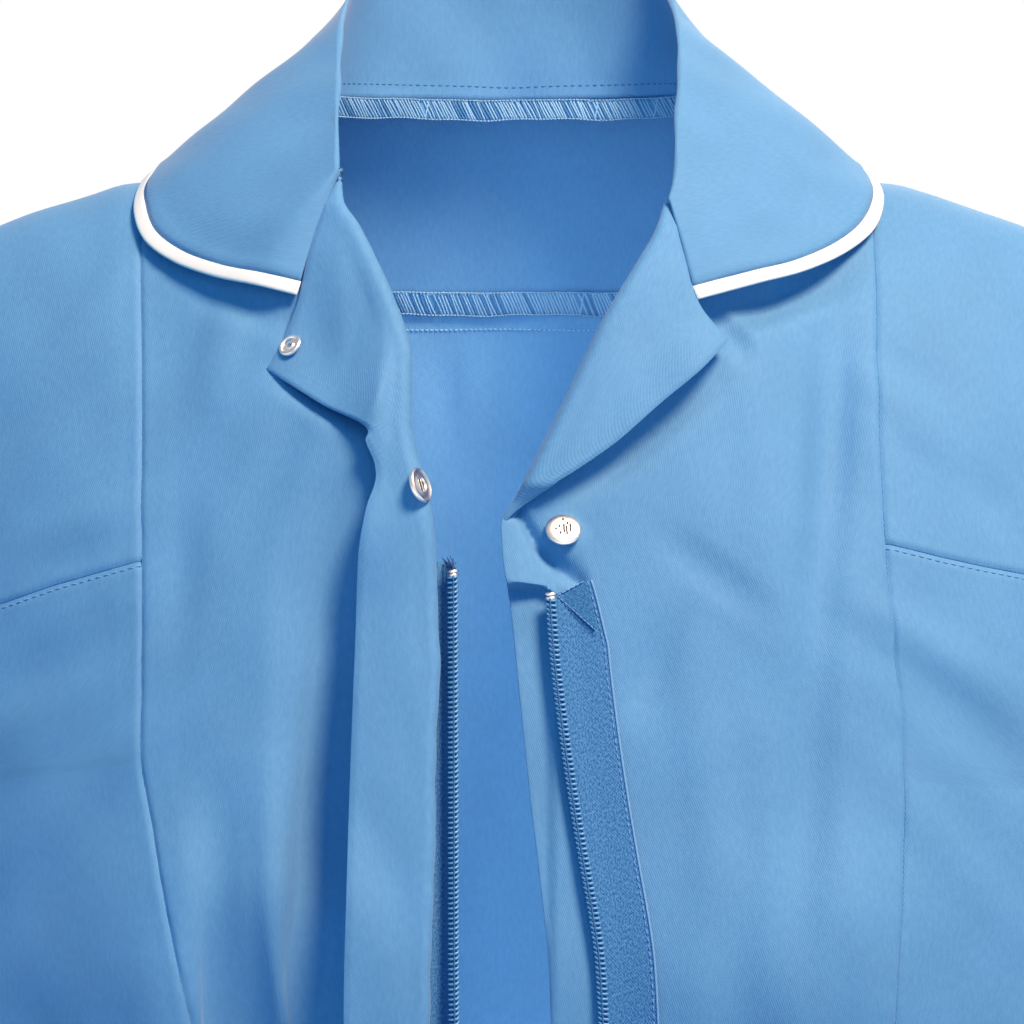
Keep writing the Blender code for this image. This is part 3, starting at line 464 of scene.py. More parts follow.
class Panel:
    """A grid of points, rows down and columns across, and where each lies on the cloth."""

    def __init__(self, points, facing, at=(0.5, 0.5)):
        self.points = points
        self.right = lengths(points, 1)
        self.left = self.right[:, -1:] - self.right
        self.down = lengths(points, 0)
        self.up = self.down[-1:] - self.down
        self.turn = 1
        row = int(at[0] * (points.shape[0] - 1))
        column = int(at[1] * (points.shape[1] - 1))
        if self.normals()[row, column] @ np.array(facing, float) < 0:
            self.turn = -1

    def normals(self):
        down = np.gradient(self.points, axis=0)
        right = np.gradient(self.points, axis=1)
        normal = np.cross(down, right) * self.turn
        return normal / np.maximum(np.linalg.norm(normal, axis=2, keepdims=True), 1e-12)

    def lift(self, height):
        """Move every point out along the cloth's normal."""
        self.points = self.points + self.normals() * np.asarray(height)[..., None]

    def cut(self):
        """Width, length and area of the flat cloth."""
        sides = np.cross(np.diff(self.points[:-1], axis=1), np.diff(self.points[:, :-1], axis=0))
        return float(self.right.max()), float(self.down.max()), float(np.linalg.norm(sides, axis=2).sum())

    def across_line(self, distance, from_foot=False):
        """Points and normals at one distance from the top edge, or from the foot."""
        reach = self.up if from_foot else self.down
        return at_distance(self.points, self.normals(), reach, distance, from_foot)

    def down_last_column(self, distance):
        """Points and normals at one distance from the last column."""
        points, normals = self.points.swapaxes(0, 1), self.normals().swapaxes(0, 1)
        return at_distance(points, normals, self.left.T, distance, True)


# %% Turn a panel into cloth
SHELLS = {}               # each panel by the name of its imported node


def new_mesh(name, points, faces):
    mesh = bpy.data.meshes.new(name)
    mesh.from_pydata(points, [], faces)
    mesh.shade_smooth()
    return mesh


def add_piece(name, mesh, material):
    """A piece of the scene with its material; the cloth and its trimmings all move with the root."""
    thing = bpy.data.objects.new(name, mesh)
    bpy.context.scene.collection.objects.link(thing)
    thing.data.materials.append(material)
    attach(thing, "root")
    return thing


def make_cloth(name, panel, wall, material, round_edges=False):
    """A thin shell whose outer face is the panel's grid, with the weave laid along it."""
    rows, columns = panel.points.shape[:2]
    index = np.arange(rows * columns).reshape(rows, columns)
    corners = [index[:-1, :-1], index[1:, :-1], index[1:, 1:], index[:-1, 1:]]
    if panel.turn < 0:
        corners.reverse()
    faces = np.stack(corners, axis=2).reshape(-1, 4)
    mesh = new_mesh(name, panel.points.reshape(-1, 3).tolist(), faces.tolist())
    weave = mesh.uv_layers.new(name="weave")
    middle = panel.right[:, columns // 2:columns // 2 + 1]
    places = np.stack((panel.right - middle, -panel.down), axis=2).reshape(-1, 2)
    loops = np.zeros(len(mesh.loops), int)
    mesh.loops.foreach_get("vertex_index", loops)
    weave.data.foreach_set("uv", places[loops].ravel())
    thing = add_piece(name, mesh, material)
    shell = thing.modifiers.new("wall", "SOLIDIFY")
    shell.thickness = wall
    shell.offset = -1
    if round_edges:
        edge = thing.modifiers.new("soft_edge", "BEVEL")
        edge.width = wall * 0.3
        edge.segments = 2
        edge.limit_method = "ANGLE"
        edge.angle_limit = math.radians(50)
    return thing


def declare_sheet(thing, panel):
    """Print how big the cloth was cut."""
    width, length, area = panel.cut()
    print(f"{thing.name}: {width * 1000:.0f} x {length * 1000:.0f} mm, {area:.3f} square metres")


def dress(name, panel, wall, held="hung", rests_on="back_yoke", round_edges=False):
    """Put a panel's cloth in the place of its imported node."""
    thing = make_cloth(name + "_cloth", panel, wall, CLOTH, round_edges)
    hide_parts(name)
    SHELLS[name] = panel
    declare_sheet(thing, panel)


# %% [markdown]
# ## Finishes
#
# The tunic is a twill: its threads step over each other so that fine ribs run steeply up to the
# right, three quarters of a millimetre apart. The ribs are a wave along the panel's own weave
# coordinates, so they follow the cloth round the body. The grooves between the ribs are painted a
# little darker, as painted shade. Noise breaks the ribs into short flecks and varies the colour a
# little. A soft sheen lightens the cloth where it turns away, as the fine surface fibres do.

# %% Material helpers
SHEEN_ROUGHNESS = 0.45


def node(tree, kind, **settings):
    """Add a shader node and set its properties."""
    made = tree.nodes.new(kind)
    for name, value in settings.items():
        setattr(made, name, value)
    return made


def set_inputs(made, **values):
    """Set inputs of a node by their names, with _ for a space."""
    for name, value in values.items():
        made.inputs[name.replace("_", " ")].default_value = value


def new_finish(name, roughness=0.8, metallic=0.0, sheen=0.0, specular=0.3):
    material = bpy.data.materials.new(name)
    material.use_nodes = True
    shader = material.node_tree.nodes["Principled BSDF"]
    shader.inputs["Roughness"].default_value = roughness
    shader.inputs["Metallic"].default_value = metallic
    shader.inputs["Specular IOR Level"].default_value = specular
    shader.inputs["Sheen Weight"].default_value = sheen
    shader.inputs["Sheen Roughness"].default_value = SHEEN_ROUGHNESS
    return material, material.node_tree, shader


def wave(tree, coordinates, pitch, turn, distortion=0.6, detail_scale=2.0):
    """Straight ribs a pitch apart, turned by an angle from upright."""
    mapping = node(tree, "ShaderNodeMapping")
    mapping.inputs["Rotation"].default_value = (0, 0, turn)
    tree.links.new(coordinates, mapping.inputs["Vector"])
    ribs = node(tree, "ShaderNodeTexWave", wave_type="BANDS", bands_direction="X")
    ribs.inputs["Scale"].default_value = math.pi / (10 * pitch)
    ribs.inputs["Distortion"].default_value = distortion
    ribs.inputs["Detail"].default_value = 2.0
    ribs.inputs["Detail Scale"].default_value = detail_scale
    tree.links.new(mapping.outputs["Vector"], ribs.inputs["Vector"])
    return ribs.outputs["Fac"]


def noise(tree, coordinates, scale, detail=3.0, stretch=(1, 1, 1)):
    mapping = node(tree, "ShaderNodeMapping")
    mapping.inputs["Scale"].default_value = stretch
    tree.links.new(coordinates, mapping.inputs["Vector"])
    made = node(tree, "ShaderNodeTexNoise")
    made.inputs["Scale"].default_value = scale
    made.inputs["Detail"].default_value = detail
    tree.links.new(mapping.outputs["Vector"], made.inputs["Vector"])
    return made.outputs["Fac"]


def blend(tree, factor, low, high):
    """A colour between two, by a factor from another node."""
    mixed = node(tree, "ShaderNodeMix", data_type="RGBA")
    tree.links.new(factor, mixed.inputs["Factor"])
    for socket, value in (("A", low), ("B", high)):
        target = [s for s in mixed.inputs if s.name == socket and s.type == "RGBA"][0]
        if isinstance(value, tuple):
            target.default_value = (*value, 1)
        else:
            tree.links.new(value, target)
    return [s for s in mixed.outputs if s.type == "RGBA"][0]


def combine(tree, first, second, weight):
    """first + second x weight."""
    made = node(tree, "ShaderNodeMath", operation="MULTIPLY_ADD")
    tree.links.new(second, made.inputs[0])
    made.inputs[1].default_value = weight
    tree.links.new(first, made.inputs[2])
    return made.outputs[0]


def relief(tree, shader, height, depth):
    """Bump from a height, as deep as the real surface."""
    made = node(tree, "ShaderNodeBump")
    made.inputs["Distance"].default_value = depth
    made.inputs["Strength"].default_value = 1.0
    tree.links.new(height, made.inputs["Height"])
    tree.links.new(made.outputs["Normal"], shader.inputs["Normal"])


# %% Twill
RIB_PITCH = 0.75 * MM
RIB_LEAN = math.radians(-24)
RIB_SHADE = 0.24          # how far painted shade between the ribs darkens the colour
TWILL_DEPTH = 0.04 * MM


def twill(name, light, dark):
    """Twill cloth: steep fine ribs with painted shade between them, flecks, and slow changes of colour."""
    material, tree, shader = new_finish(name, roughness=0.70, sheen=0.25, specular=0.42)
    shader.inputs["Sheen Tint"].default_value = (1.0, 0.97, 0.94, 1)
    weave = node(tree, "ShaderNodeUVMap", uv_map="weave").outputs["UV"]
    ribs = wave(tree, weave, RIB_PITCH, RIB_LEAN, distortion=1.2, detail_scale=1.2)
    flecks = noise(tree, weave, 900, detail=2.0, stretch=(1, 0.35, 1))
    slow = noise(tree, weave, 28, detail=3.0)
    surface = combine(tree, ribs, flecks, 1.4)
    colour = blend(tree, flecks, dark, light)
    tint = node(tree, "ShaderNodeMapRange")
    set_inputs(tint, From_Min=0.3, From_Max=0.7, To_Min=0.94, To_Max=1.05)
    tree.links.new(slow, tint.inputs["Value"])
    varied = node(tree, "ShaderNodeVectorMath", operation="SCALE")
    tree.links.new(colour, varied.inputs[0])
    tree.links.new(tint.outputs[0], varied.inputs["Scale"])
    # painted shade: the colour darkens between the ribs
    shaded_ribs = blend(tree, ribs, dark, varied.outputs[0])
    softened = node(tree, "ShaderNodeMix", data_type="RGBA")
    softened.inputs["Factor"].default_value = RIB_SHADE
    rgba = [s for s in softened.inputs if s.type == "RGBA"]
    tree.links.new(varied.outputs[0], rgba[0])
    tree.links.new(shaded_ribs, rgba[1])
    tree.links.new([s for s in softened.outputs if s.type == "RGBA"][0], shader.inputs["Base Color"])
    relief(tree, shader, surface, TWILL_DEPTH)
    return material


CLOTH = twill("tunic_twill", light=(0.145, 0.375, 0.680), dark=(0.085, 0.280, 0.580))
print("twill ribs:", round(RIB_PITCH / MM, 2), "mm apart")


# %% Thread, piping, tape and metal
def plain_finish(name, colour, dark, roughness, scale, depth, sheen=0.0, specular=0.4):
    """A plain surface with fine grain, for thread, piping and the zip's nylon."""
    material, tree, shader = new_finish(name, roughness=roughness, sheen=sheen, specular=specular)
    place = node(tree, "ShaderNodeTexCoord").outputs["Object"]
    grain = noise(tree, place, scale, detail=2.0)
    tree.links.new(blend(tree, grain, dark, colour), shader.inputs["Base Color"])
    relief(tree, shader, grain, depth)
    return material


THREAD = plain_finish("sewing_thread", (0.24, 0.47, 0.80), (0.12, 0.32, 0.66), 0.6, 2600, 0.06 * MM,
                      sheen=0.2)
PALE_THREAD = plain_finish("pale_thread", (0.36, 0.62, 0.88), (0.22, 0.48, 0.78), 0.6, 2600, 0.06 * MM,
                           sheen=0.3)
# A darker copy of the pale thread: painted shade on some overlock loops.
SHADED_THREAD = plain_finish("thread_painted_shade", (0.10, 0.30, 0.60), (0.06, 0.22, 0.50), 0.6, 2600, 0.06 * MM)
DARK_STITCH = plain_finish("dark_stitch", (0.05, 0.20, 0.46), (0.03, 0.14, 0.36), 0.6, 2600, 0.06 * MM)
DARK_THREAD = plain_finish("dark_thread", (0.02, 0.09, 0.28), (0.01, 0.05, 0.18), 0.6, 2600, 0.06 * MM)
NYLON = plain_finish("zip_nylon", (0.13, 0.40, 0.72), (0.07, 0.28, 0.60), 0.36, 1400, 0.02 * MM, specular=0.7)
PIPING_CLOTH = plain_finish("white_piping", (0.93, 0.935, 0.945), (0.86, 0.87, 0.89), 0.75, 2400, 0.05 * MM,
                            sheen=0.1)


def tape_finish(name, dark, light):
    """Zip tape: a close weave of short slanting specks, its low threads painted darker as painted shade."""
    material, tree, shader = new_finish(name, roughness=0.78, sheen=0.15, specular=0.25)
    weave = node(tree, "ShaderNodeUVMap", uv_map="weave").outputs["UV"]
    one_way = noise(tree, weave, 2000, detail=1.0, stretch=(1, 0.55, 1))
    ribs = wave(tree, weave, 0.6 * MM, math.radians(-32), distortion=3.0, detail_scale=3.0)
    surface = combine(tree, one_way, ribs, 0.2)
    # the colour follows the weave's height: specks of their own tone, and painted shade in the low threads
    shade = node(tree, "ShaderNodeMapRange")
    set_inputs(shade, From_Min=0.38, From_Max=0.80)
    tree.links.new(surface, shade.inputs["Value"])
    tree.links.new(blend(tree, shade.outputs[0], dark, light), shader.inputs["Base Color"])
    relief(tree, shader, surface, 0.12 * MM)
    return material


TAPE = tape_finish("zip_tape_weave", (0.015, 0.11, 0.36), (0.10, 0.31, 0.60))
# A darker copy of the tape's weave: painted shade on the folded end.
SHADED_TAPE = tape_finish("zip_tape_end_shade", (0.010, 0.09, 0.28), (0.06, 0.25, 0.52))


def metal_finish():
    """Nickel plate with faint fine scratches."""
    material, tree, shader = new_finish("nickel_plate", roughness=0.3, metallic=1.0, specular=0.5)
    place = node(tree, "ShaderNodeTexCoord").outputs["Object"]
    grain = noise(tree, place, 900, detail=4.0, stretch=(1, 1, 3))
    tree.links.new(blend(tree, grain, (0.73, 0.75, 0.79), (0.91, 0.92, 0.95)), shader.inputs["Base Color"])
    rough = node(tree, "ShaderNodeMapRange")
    set_inputs(rough, To_Min=0.26, To_Max=0.46)
    tree.links.new(grain, rough.inputs["Value"])
    tree.links.new(rough.outputs[0], shader.inputs["Roughness"])
    relief(tree, shader, grain, 0.01 * MM)
    return material


NICKEL = metal_finish()
# Near black: painted shadow in the socket's hole, and the dark of the cap's stamped grooves, partly oxide and
# partly painted shade.
STAMP_SHADOW = plain_finish("stamp_shadow", (0.07, 0.08, 0.10), (0.03, 0.03, 0.04), 0.5, 1800, 0.02 * MM)
print("finishes:", len(bpy.data.materials))

# %% [markdown]
# ## Seams and stitches
#
# Where two panels are sewn, both turn in and the seam allowance behind them lifts the cloth a
# little for about ten millimetres. The thread gathers the cloth into small puckers. A stitch is
# a short thread that rises from one hole and dips into the next. All stitches of a line are
# made as one mesh, by sweeping a small ring along each stitch.

# %% Seam relief and stitch meshes
ALLOWANCE = 10 * MM


def seam(distance, along, depth=0.6 * MM):
    """Height of the cloth beside a seam, by distance from it and place along it."""
    groove = -depth * np.exp(-(distance / (0.9 * MM)) ** 2)
    shoulder = 0.10 * MM * np.exp(-((distance - 2.4 * MM) / (1.3 * MM)) ** 2)
    pressed = 0.14 * MM * (1 - step(ALLOWANCE - 1.5 * MM, ALLOWANCE + 1.5 * MM, distance))
    wander = along / MM
    pucker = np.sin(wander / 1.9 + 1.3 * np.sin(wander / 9.7)) * np.exp(-distance / (4.5 * MM))
    return groove + shoulder + pressed + 0.12 * MM * pucker * step(0, 1.2 * MM, distance)


def stitched_groove(distance, line, along):
    """The slight dent that a line of topstitching pulls into the cloth."""
    wander = along / MM
    dent = -0.22 * MM * np.exp(-((distance - line) / (0.8 * MM)) ** 2)
    return dent * (1 + 0.35 * np.sin(wander * 2.1))


# %% Threads as tubes
FRONT_WAY = (0.0, -1.0, 0.0)


def same_way(way, count):
    """One outward direction for each point of a path."""
    return np.tile(tuple(way), (count, 1))


def resample(points, ways, spacing):
    """Even steps along a line."""
    reach = np.concatenate(([0.0], np.cumsum(np.linalg.norm(np.diff(points, axis=0), axis=1))))
    count = max(2, int(reach[-1] / spacing))
    even = np.linspace(0, reach[-1], count + 1)
    place = np.stack([np.interp(even, reach, points[:, k]) for k in range(3)], axis=1)
    way = np.stack([np.interp(even, reach, ways[:, k]) for k in range(3)], axis=1)
    return place, way / np.linalg.norm(way, axis=1, keepdims=True)


def sweep(centres, ways, radius, sides=5):
    """Points of a thin tube along a short path, a ring for each centre."""
    along = np.gradient(centres, axis=0)
    along /= np.maximum(np.linalg.norm(along, axis=1, keepdims=True), 1e-12)
    side = np.cross(along, ways)
    side /= np.maximum(np.linalg.norm(side, axis=1, keepdims=True), 1e-12)
    up = np.cross(side, along)
    turns = 2 * math.pi * np.arange(sides) / sides
    radius = np.broadcast_to(radius, len(centres))
    return (centres[:, None] + side[:, None] * (np.cos(turns)[:, None] * radius[:, None, None])
            + up[:, None] * (np.sin(turns)[:, None] * radius[:, None, None]))


def ring_faces(count, sides, start=0):
    """Faces of one tube of rings, closed at both ends."""
    index = start + np.arange(count * sides).reshape(count, sides)
    after = np.roll(index, -1, axis=1)
    quads = np.stack((index[:-1], after[:-1], after[1:], index[1:]), axis=2).reshape(-1, 4)
    return quads.tolist() + [index[0][::-1].tolist(), index[-1].tolist()]


def tubes(name, paths, radius, material, sides=5):
    """One mesh of many short threads; a path is its centres and its outward directions."""
    points, faces, start = [], [], 0
    for centres, ways in paths:
        rings = sweep(centres, ways, radius, sides)
        points.append(rings.reshape(-1, 3))
        faces += ring_faces(len(rings), sides, start)
        start += len(rings) * sides
    print(f"{name}: threads {len(paths)}")
    return add_piece(name, new_mesh(name, np.concatenate(points).tolist(), faces), material)


STITCH_ARCH = 0.34 * MM   # a stitch rises this much between its holes
STITCH_SINK = 0.16 * MM   # and starts this deep in the cloth


def stitches(name, line, pitch, fill=0.74, radius=0.17 * MM, rise=0.16 * MM, material=THREAD):
    """A row of stitches along a line of points and outward directions."""
    steps = 6
    place, way = resample(*line, pitch / steps)
    paths = []
    used = round(steps * fill) + 1
    for first in range(0, len(place) - used, steps):
        part = slice(first, first + used)
        height = np.sin(np.linspace(0, math.pi, used)) * STITCH_ARCH - STITCH_SINK + rise * 0.5
        paths.append((place[part] + way[part] * height[:, None], way[part]))
    return tubes(name, paths, radius, material)


# %% [markdown]
# ## The fronts
#
# Each front has a centre panel between the open edge and the princess seam, a yoke outside that
# seam, and a side panel below the yoke. A panel is laid out between two upright seams. Its rows
# follow the cloth over the shoulder, so they stay evenly spaced where the form turns level.

# %% Seams of the fronts
SEAM_GAP = -0.1 * MM      # the sewn edges lap by this much, so no light shows between them
NECK_INSET = 2 * MM
LEAD = 2 * MM
HIDDEN_SEAM = 1 * MM
PANEL_FACE = 0.8 * MM     # from the middle of a packed wall to its outer face
PANEL_WALL = 0.75 * MM
LAPEL_FOOT = -133 * MM
PRINCESS = {
    RIGHT: Curve([(-28, 110), (-48, 112.8), (-96, 111.3), (-157, 110.3), (-205, 109.9), (-226, 106.2),
                  (-253, 101.5), (-284, 96), (-420, 79), (-520, 82), (-620, 92), (-700, 98)]),
    LEFT: Curve([(-28, 109.5), (-42, 112), (-96, 111.9), (-131, 112.9), (-170, 115.3), (-194, 118),
                 (-219, 118), (-284, 115), (-350, 106), (-420, 92), (-520, 90), (-620, 96), (-700, 101)]),
}
FRONT_YOKE = {
    RIGHT: Curve([(105, -144), (111, -145.7), (136, -152.6), (155, -159), (180, -165)]),
    LEFT: Curve([(105, -139), (114, -140.6), (133, -145), (156, -149.7), (180, -154)]),
}
FRONT_NECK = Curve([(-31, 51.5), (-22, 56), (-12, 62), (-2, 67.5)])
ARMHOLE_FRONT = Curve([(-53, 186), (-90, 175), (-130, 170), (-165, 173), (-190, 182), (-206, 195),
                       (-215, 205)])
ARMHOLE_BACK = Curve([(-53, 186), (-90, 178), (-130, 175), (-165, 178), (-190, 186), (-206, 197),
                      (-215, 205)])
FOLD = {
    RIGHT: Curve([(-28, -51.2), (-36, -50.4), (-44, -45.4), (-54.6, -40), (-66.5, -34.6), (-78, -30.5),
                  (-85, -29.2), (-97, -29.3), (-104, -29.3), (-112, -28), (-124, -24.5), (-139, -22.3),
                  (-163, -21.2), (-181, -20.8), (-205, -22), (-240, -22.2), (-255, -23.2),
                  (-283, -23.6), (-330, -22), (-380, -18.5), (-430, -12), (-460, -8.5), (-490, -7),
                  (-700, -6)]),
    LEFT: Curve([(-36, 47.4), (-45, 44.6), (-56, 38.4), (-73, 28.2), (-88, 21), (-103, 13.7),
                 (-115, 7.7), (-127, 1.8), (-134.5, -2.4), (-145, -1.8), (-158, 0.3), (-187, 3.3),
                 (-216, 6.3), (-240, 9.2), (-264, 11.6), (-283, 12.4), (-310, 13), (-350, 9),
                 (-390, 1), (-430, -9), (-460, -13), (-500, -14), (-700, -14)]),
}
FOLD_RADIUS = Curve([(-28, 2.2), (-70, 2.6), (-100, 3.2), (-124, 3.6), (-160, 2.4), (-700, 2.2)])
SIDE_ANGLE = math.pi / 2 - 0.0002    # a hair short of the side seam, where x would stop changing
print("seams lap by", round(-SEAM_GAP / MM, 2), "mm")


# %% Lay out a panel between its seams
def front_surface(side):
    return lambda x, z: form_front(x, z) + large_folds(x, z) + layer(side, x, z)


def shoulder_line(x):
    return RIDGE(x) - RIDGE_DROP


def hem_line(x):
    return HEM + 0.0 * x


def upright(curve, side, shift):
    return lambda z: angle_at(side * curve(z) + shift, z)


def armhole_edge(curve, side):
    def angle(z):
        seam_place = np.abs(angle_at(curve(z) - SEAM_GAP, z))
        return side * np.where(z <= UNDERARM, SIDE_ANGLE, np.minimum(SIDE_ANGLE, seam_place))
    return angle


def front_inner(side):
    """Inner edge of a front: the neck seam, then the fold's seam or the free edge."""
    def edge(z):
        top = FOLD[side].x[-1]
        neck = side * (FRONT_NECK(z) + NECK_INSET)
        fold_seam = FOLD[side](z) + side * (LEAD + FOLD_RADIUS(z) + HIDDEN_SEAM)
        if side == LEFT:
            opened = step(LAPEL_FOOT + 15 * MM, LAPEL_FOOT + 6 * MM, z)
            fold_seam = fold_seam + (FOLD[LEFT](z) - fold_seam) * opened
        turned = step(top, top - 6 * MM, z)
        below = fold_seam * turned + side * (FRONT_NECK(top) + NECK_INSET) * (1 - turned)
        return np.where(z > top, neck, below)
    return lambda z: angle_at(edge(z), z)


def panel_grid(inner, outer, top, foot, columns, rows, roll, surface):
    """Points between two upright seams and between a top line and a foot line."""
    def place(share, z):
        start = inner(z)
        return x_at(start + (outer(z) - start) * share, z)

    def meet(line):
        z = line(np.full_like(columns, 0.1))
        for _ in range(40):
            z = line(np.abs(place(columns, z)))
        return z

    z_top, z_foot = meet(top), meet(foot)
    ridge = RIDGE(np.abs(place(columns, z_top)))
    arc_top = arc_from_drop(ridge - z_top, roll)
    arc_foot = arc_from_drop(ridge - z_foot, roll)
    arc = arc_top + (arc_foot - arc_top) * rows[:, None]
    z = ridge - drop_from_arc(arc, roll)
    x = place(columns[None, :], z)
    return np.stack((x, surface(x, z), z), axis=2)


# %% [markdown]
# ## The open left edge
#
# Below its lapel the left front is turned under. Just above the zip the turned edge stands out
# as a small bright facet, bounded by a diagonal crease. The facet ends in a step, below which
# a flatter strip runs down behind the zip's coil.

# %% Relief of the left edge
FACET_FOLD = Curve([(-4, -129), (3.1, -131.4), (5.1, -135.4), (9.1, -141.9), (13, -145.8), (17.9, -150.3),
                    (20.9, -151.8), (27, -154)])
FACET_FOOT = Curve([(-4, -152.6), (5.1, -152.8), (10.6, -153.4), (14.5, -156.5), (27, -157)])
FACET_SLOPE = 0.30
FACET_TILT = 0.66         # cosine of the fold's lean


def beyond(x, z, ends):
    """Signed distance from a slanting line, positive below it."""
    (x0, z0), (x1, z1) = ((a * MM, b * MM) for a, b in ends)
    length = math.hypot(x1 - x0, z1 - z0)
    return ((x - x0) * (z1 - z0) - (z - z0) * (x1 - x0)) / length


def left_edge_relief(x, z):
    """Height of the diagonal crease, the facet with its step, and the strip below them."""
    off = FACET_TILT * (FACET_FOLD(x) - z)
    near = step(25 * MM, 20 * MM, x) * step(-2 * MM, 3 * MM, x)
    diagonal = -2.9 * MM * np.exp(-(off / np.where(off > 0, 1.4 * MM, 2.8 * MM)) ** 2) * near
    below = FACET_FOOT(x) - z
    stepped = step(0, 0.9 * MM, below)
    facet = FACET_SLOPE * np.clip(off, 0, 14 * MM) * step(17 * MM, 12 * MM, x) * (1 - stepped)
    guard = step(14.5 * MM, 11.0 * MM, x) * stepped * step(-330 * MM, -250 * MM, z)
    shadow = step(11 * MM, 6 * MM, x) * np.exp(-(below / (3.5 * MM)) ** 2) * stepped
    under_stud = 1.8 * MM * bump(np.minimum(1.0, np.hypot(x - 16.8 * MM, z + 139.5 * MM) / (9 * MM)))
    return diagonal + facet + under_stud - 1.7 * MM * guard - 1.2 * MM * shadow


# %% Make the front panels
FRONT_LOOK = {"table": FRONT_CREASES, "strength": 1.6}
YOKE_TOPSTITCH = 1.6 * MM


def finish_panel(name, panel, sewn, table, strength, extra=0.0, **cloth):
    """Add creases, unevenness and seams to a panel, then make its cloth."""
    x, z = panel.points[..., 0], panel.points[..., 2]
    panel.lift(PANEL_FACE + creases(x, z, table, strength) + unevenness(x, z) + extra)
    height = 0.0 * x
    for edge in sewn:
        along = panel.down if edge in ("left", "right") else panel.right
        height = height + seam(getattr(panel, edge), along)
    panel.lift(height)
    dress(name, panel, PANEL_WALL, **cloth)


def front_rows(length, dense=None):
    """Fine rows down to the waist, and wider ones below the frame."""
    fine = stations(length * 0.5, 2.3 * MM, True, False) * 0.5
    wide = 0.5 + stations(length * 0.5, 4.2 * MM, False, False)[1:] * 0.5
    rows = np.concatenate((fine, wide))
    if dense:
        start, end, pitch = dense
        extra = np.arange(start, end, pitch) / length
        rows = np.concatenate((rows[rows < extra[0] - 0.4 * pitch / length], extra,
                               rows[rows > extra[-1] + 0.4 * pitch / length]))
    return rows


for side, word in ((RIGHT, "right"), (LEFT, "left")):
    surface = front_surface(side)
    princess_in = upright(PRINCESS[side], side, -side * SEAM_GAP)
    princess_out = upright(PRINCESS[side], side, side * SEAM_GAP)
    yoke_top = lambda x, s=side: FRONT_YOKE[s](x) - SEAM_GAP
    yoke_foot = lambda x, s=side: FRONT_YOKE[s](x) + SEAM_GAP

    columns = stations(95 * MM, 2.3 * MM, side == LEFT, True)
    rows = front_rows(700 * MM)
    if side == LEFT:
        edge_columns = np.arange(0, 26, 0.9) * MM / (110 * MM)
        columns = np.concatenate((edge_columns, columns[columns > edge_columns[-1] + 0.010]))
        rows = front_rows(760 * MM, (198 * MM, 250 * MM, 0.8 * MM))
    grid = panel_grid(front_inner(side), princess_in, shoulder_line, hem_line, columns, rows,
                      FRONT_ROLL, surface)
    panel = Panel(grid, FRONT_WAY, (0.6, 0.5))
    extra = left_edge_relief(grid[..., 0], grid[..., 2]) if side == LEFT else 0.0
    finish_panel("front_centre_" + word, panel, ["left"], **FRONT_LOOK, extra=extra,
                 round_edges=side == LEFT)

    grid = panel_grid(princess_out, armhole_edge(ARMHOLE_FRONT, side), shoulder_line, yoke_foot,
                      stations(75 * MM, 2.3 * MM), stations(135 * MM, 2.3 * MM), FRONT_ROLL, surface)
    finish_panel("front_yoke_" + word, Panel(grid, FRONT_WAY, (0.8, 0.5)), ["right", "left", "up"],
                 **FRONT_LOOK)

    grid = panel_grid(princess_out, armhole_edge(ARMHOLE_FRONT, side), yoke_top, hem_line,
                      stations(130 * MM, 2.6 * MM), stations(560 * MM, 3.3 * MM, True, False),
                      FRONT_ROLL, surface)
    panel = Panel(grid, FRONT_WAY, (0.5, 0.2))
    groove = stitched_groove(panel.down, YOKE_TOPSTITCH, panel.right)
    finish_panel("front_side_" + word, panel, ["right", "left", "down"], **FRONT_LOOK, extra=groove)

# %% [markdown]
# ## The back
#
# The back has a straight yoke across the shoulders and one panel below it. Looking in through
# the neck, the camera sees the yoke from the inside, so both faces of the shell matter.

# %% Make the back
BACK_NECK = Curve([(0, 0), (25, 0.5), (45, 0.5), (58, 0), (66, -1.5), (69, -3)])
BACK_YOKE = Curve([(0, -63), (60, -64), (120, -69), (180, -78)])
BACK_LOOK = {"table": BACK_CREASES, "strength": 1.5, "rests_on": "collar"}
NECK_HALF_WIDTH = 68.5 * MM
YOKE_STITCH = 8.4 * MM


def back_neck_line(x):
    ridge = shoulder_line(x)
    return np.where(x < NECK_HALF_WIDTH, np.minimum(BACK_NECK(x) - 1.0 * MM, ridge), ridge)


grid = panel_grid(armhole_edge(ARMHOLE_BACK, -1), armhole_edge(ARMHOLE_BACK, 1), back_neck_line,
                  lambda x: BACK_YOKE(x) + SEAM_GAP, stations(420 * MM, 3.0 * MM),
                  stations(75 * MM, 2.6 * MM), BACK_ROLL, form_back)
finish_panel("back_yoke", Panel(grid, (0, 1, 0), (0.8, 0.5)), ["right", "left", "up"], **BACK_LOOK)
grid = panel_grid(armhole_edge(ARMHOLE_BACK, -1), armhole_edge(ARMHOLE_BACK, 1),
                  lambda x: BACK_YOKE(x) - SEAM_GAP, hem_line, stations(520 * MM, 4.2 * MM),
                  stations(640 * MM, 4.2 * MM, True, False), BACK_ROLL, form_back)
panel = Panel(grid, (0, 1, 0), (0.5, 0.5))
finish_panel("back_panel", panel, ["right", "left", "down"], **BACK_LOOK,
             extra=stitched_groove(panel.down, YOKE_STITCH, panel.right))

# %% [markdown]
# ## Sleeves
#
# A short set-in sleeve is one piece of cloth, sewn into a tube under the arm and eased into the
# armhole. The shell starts along the armhole seam, leaves it at the angle of the shoulder and
# ends in a straight cuff. The cuff's hem shows as a slightly raised band below its stitches.
# Soft diagonal creases run from the underarm.

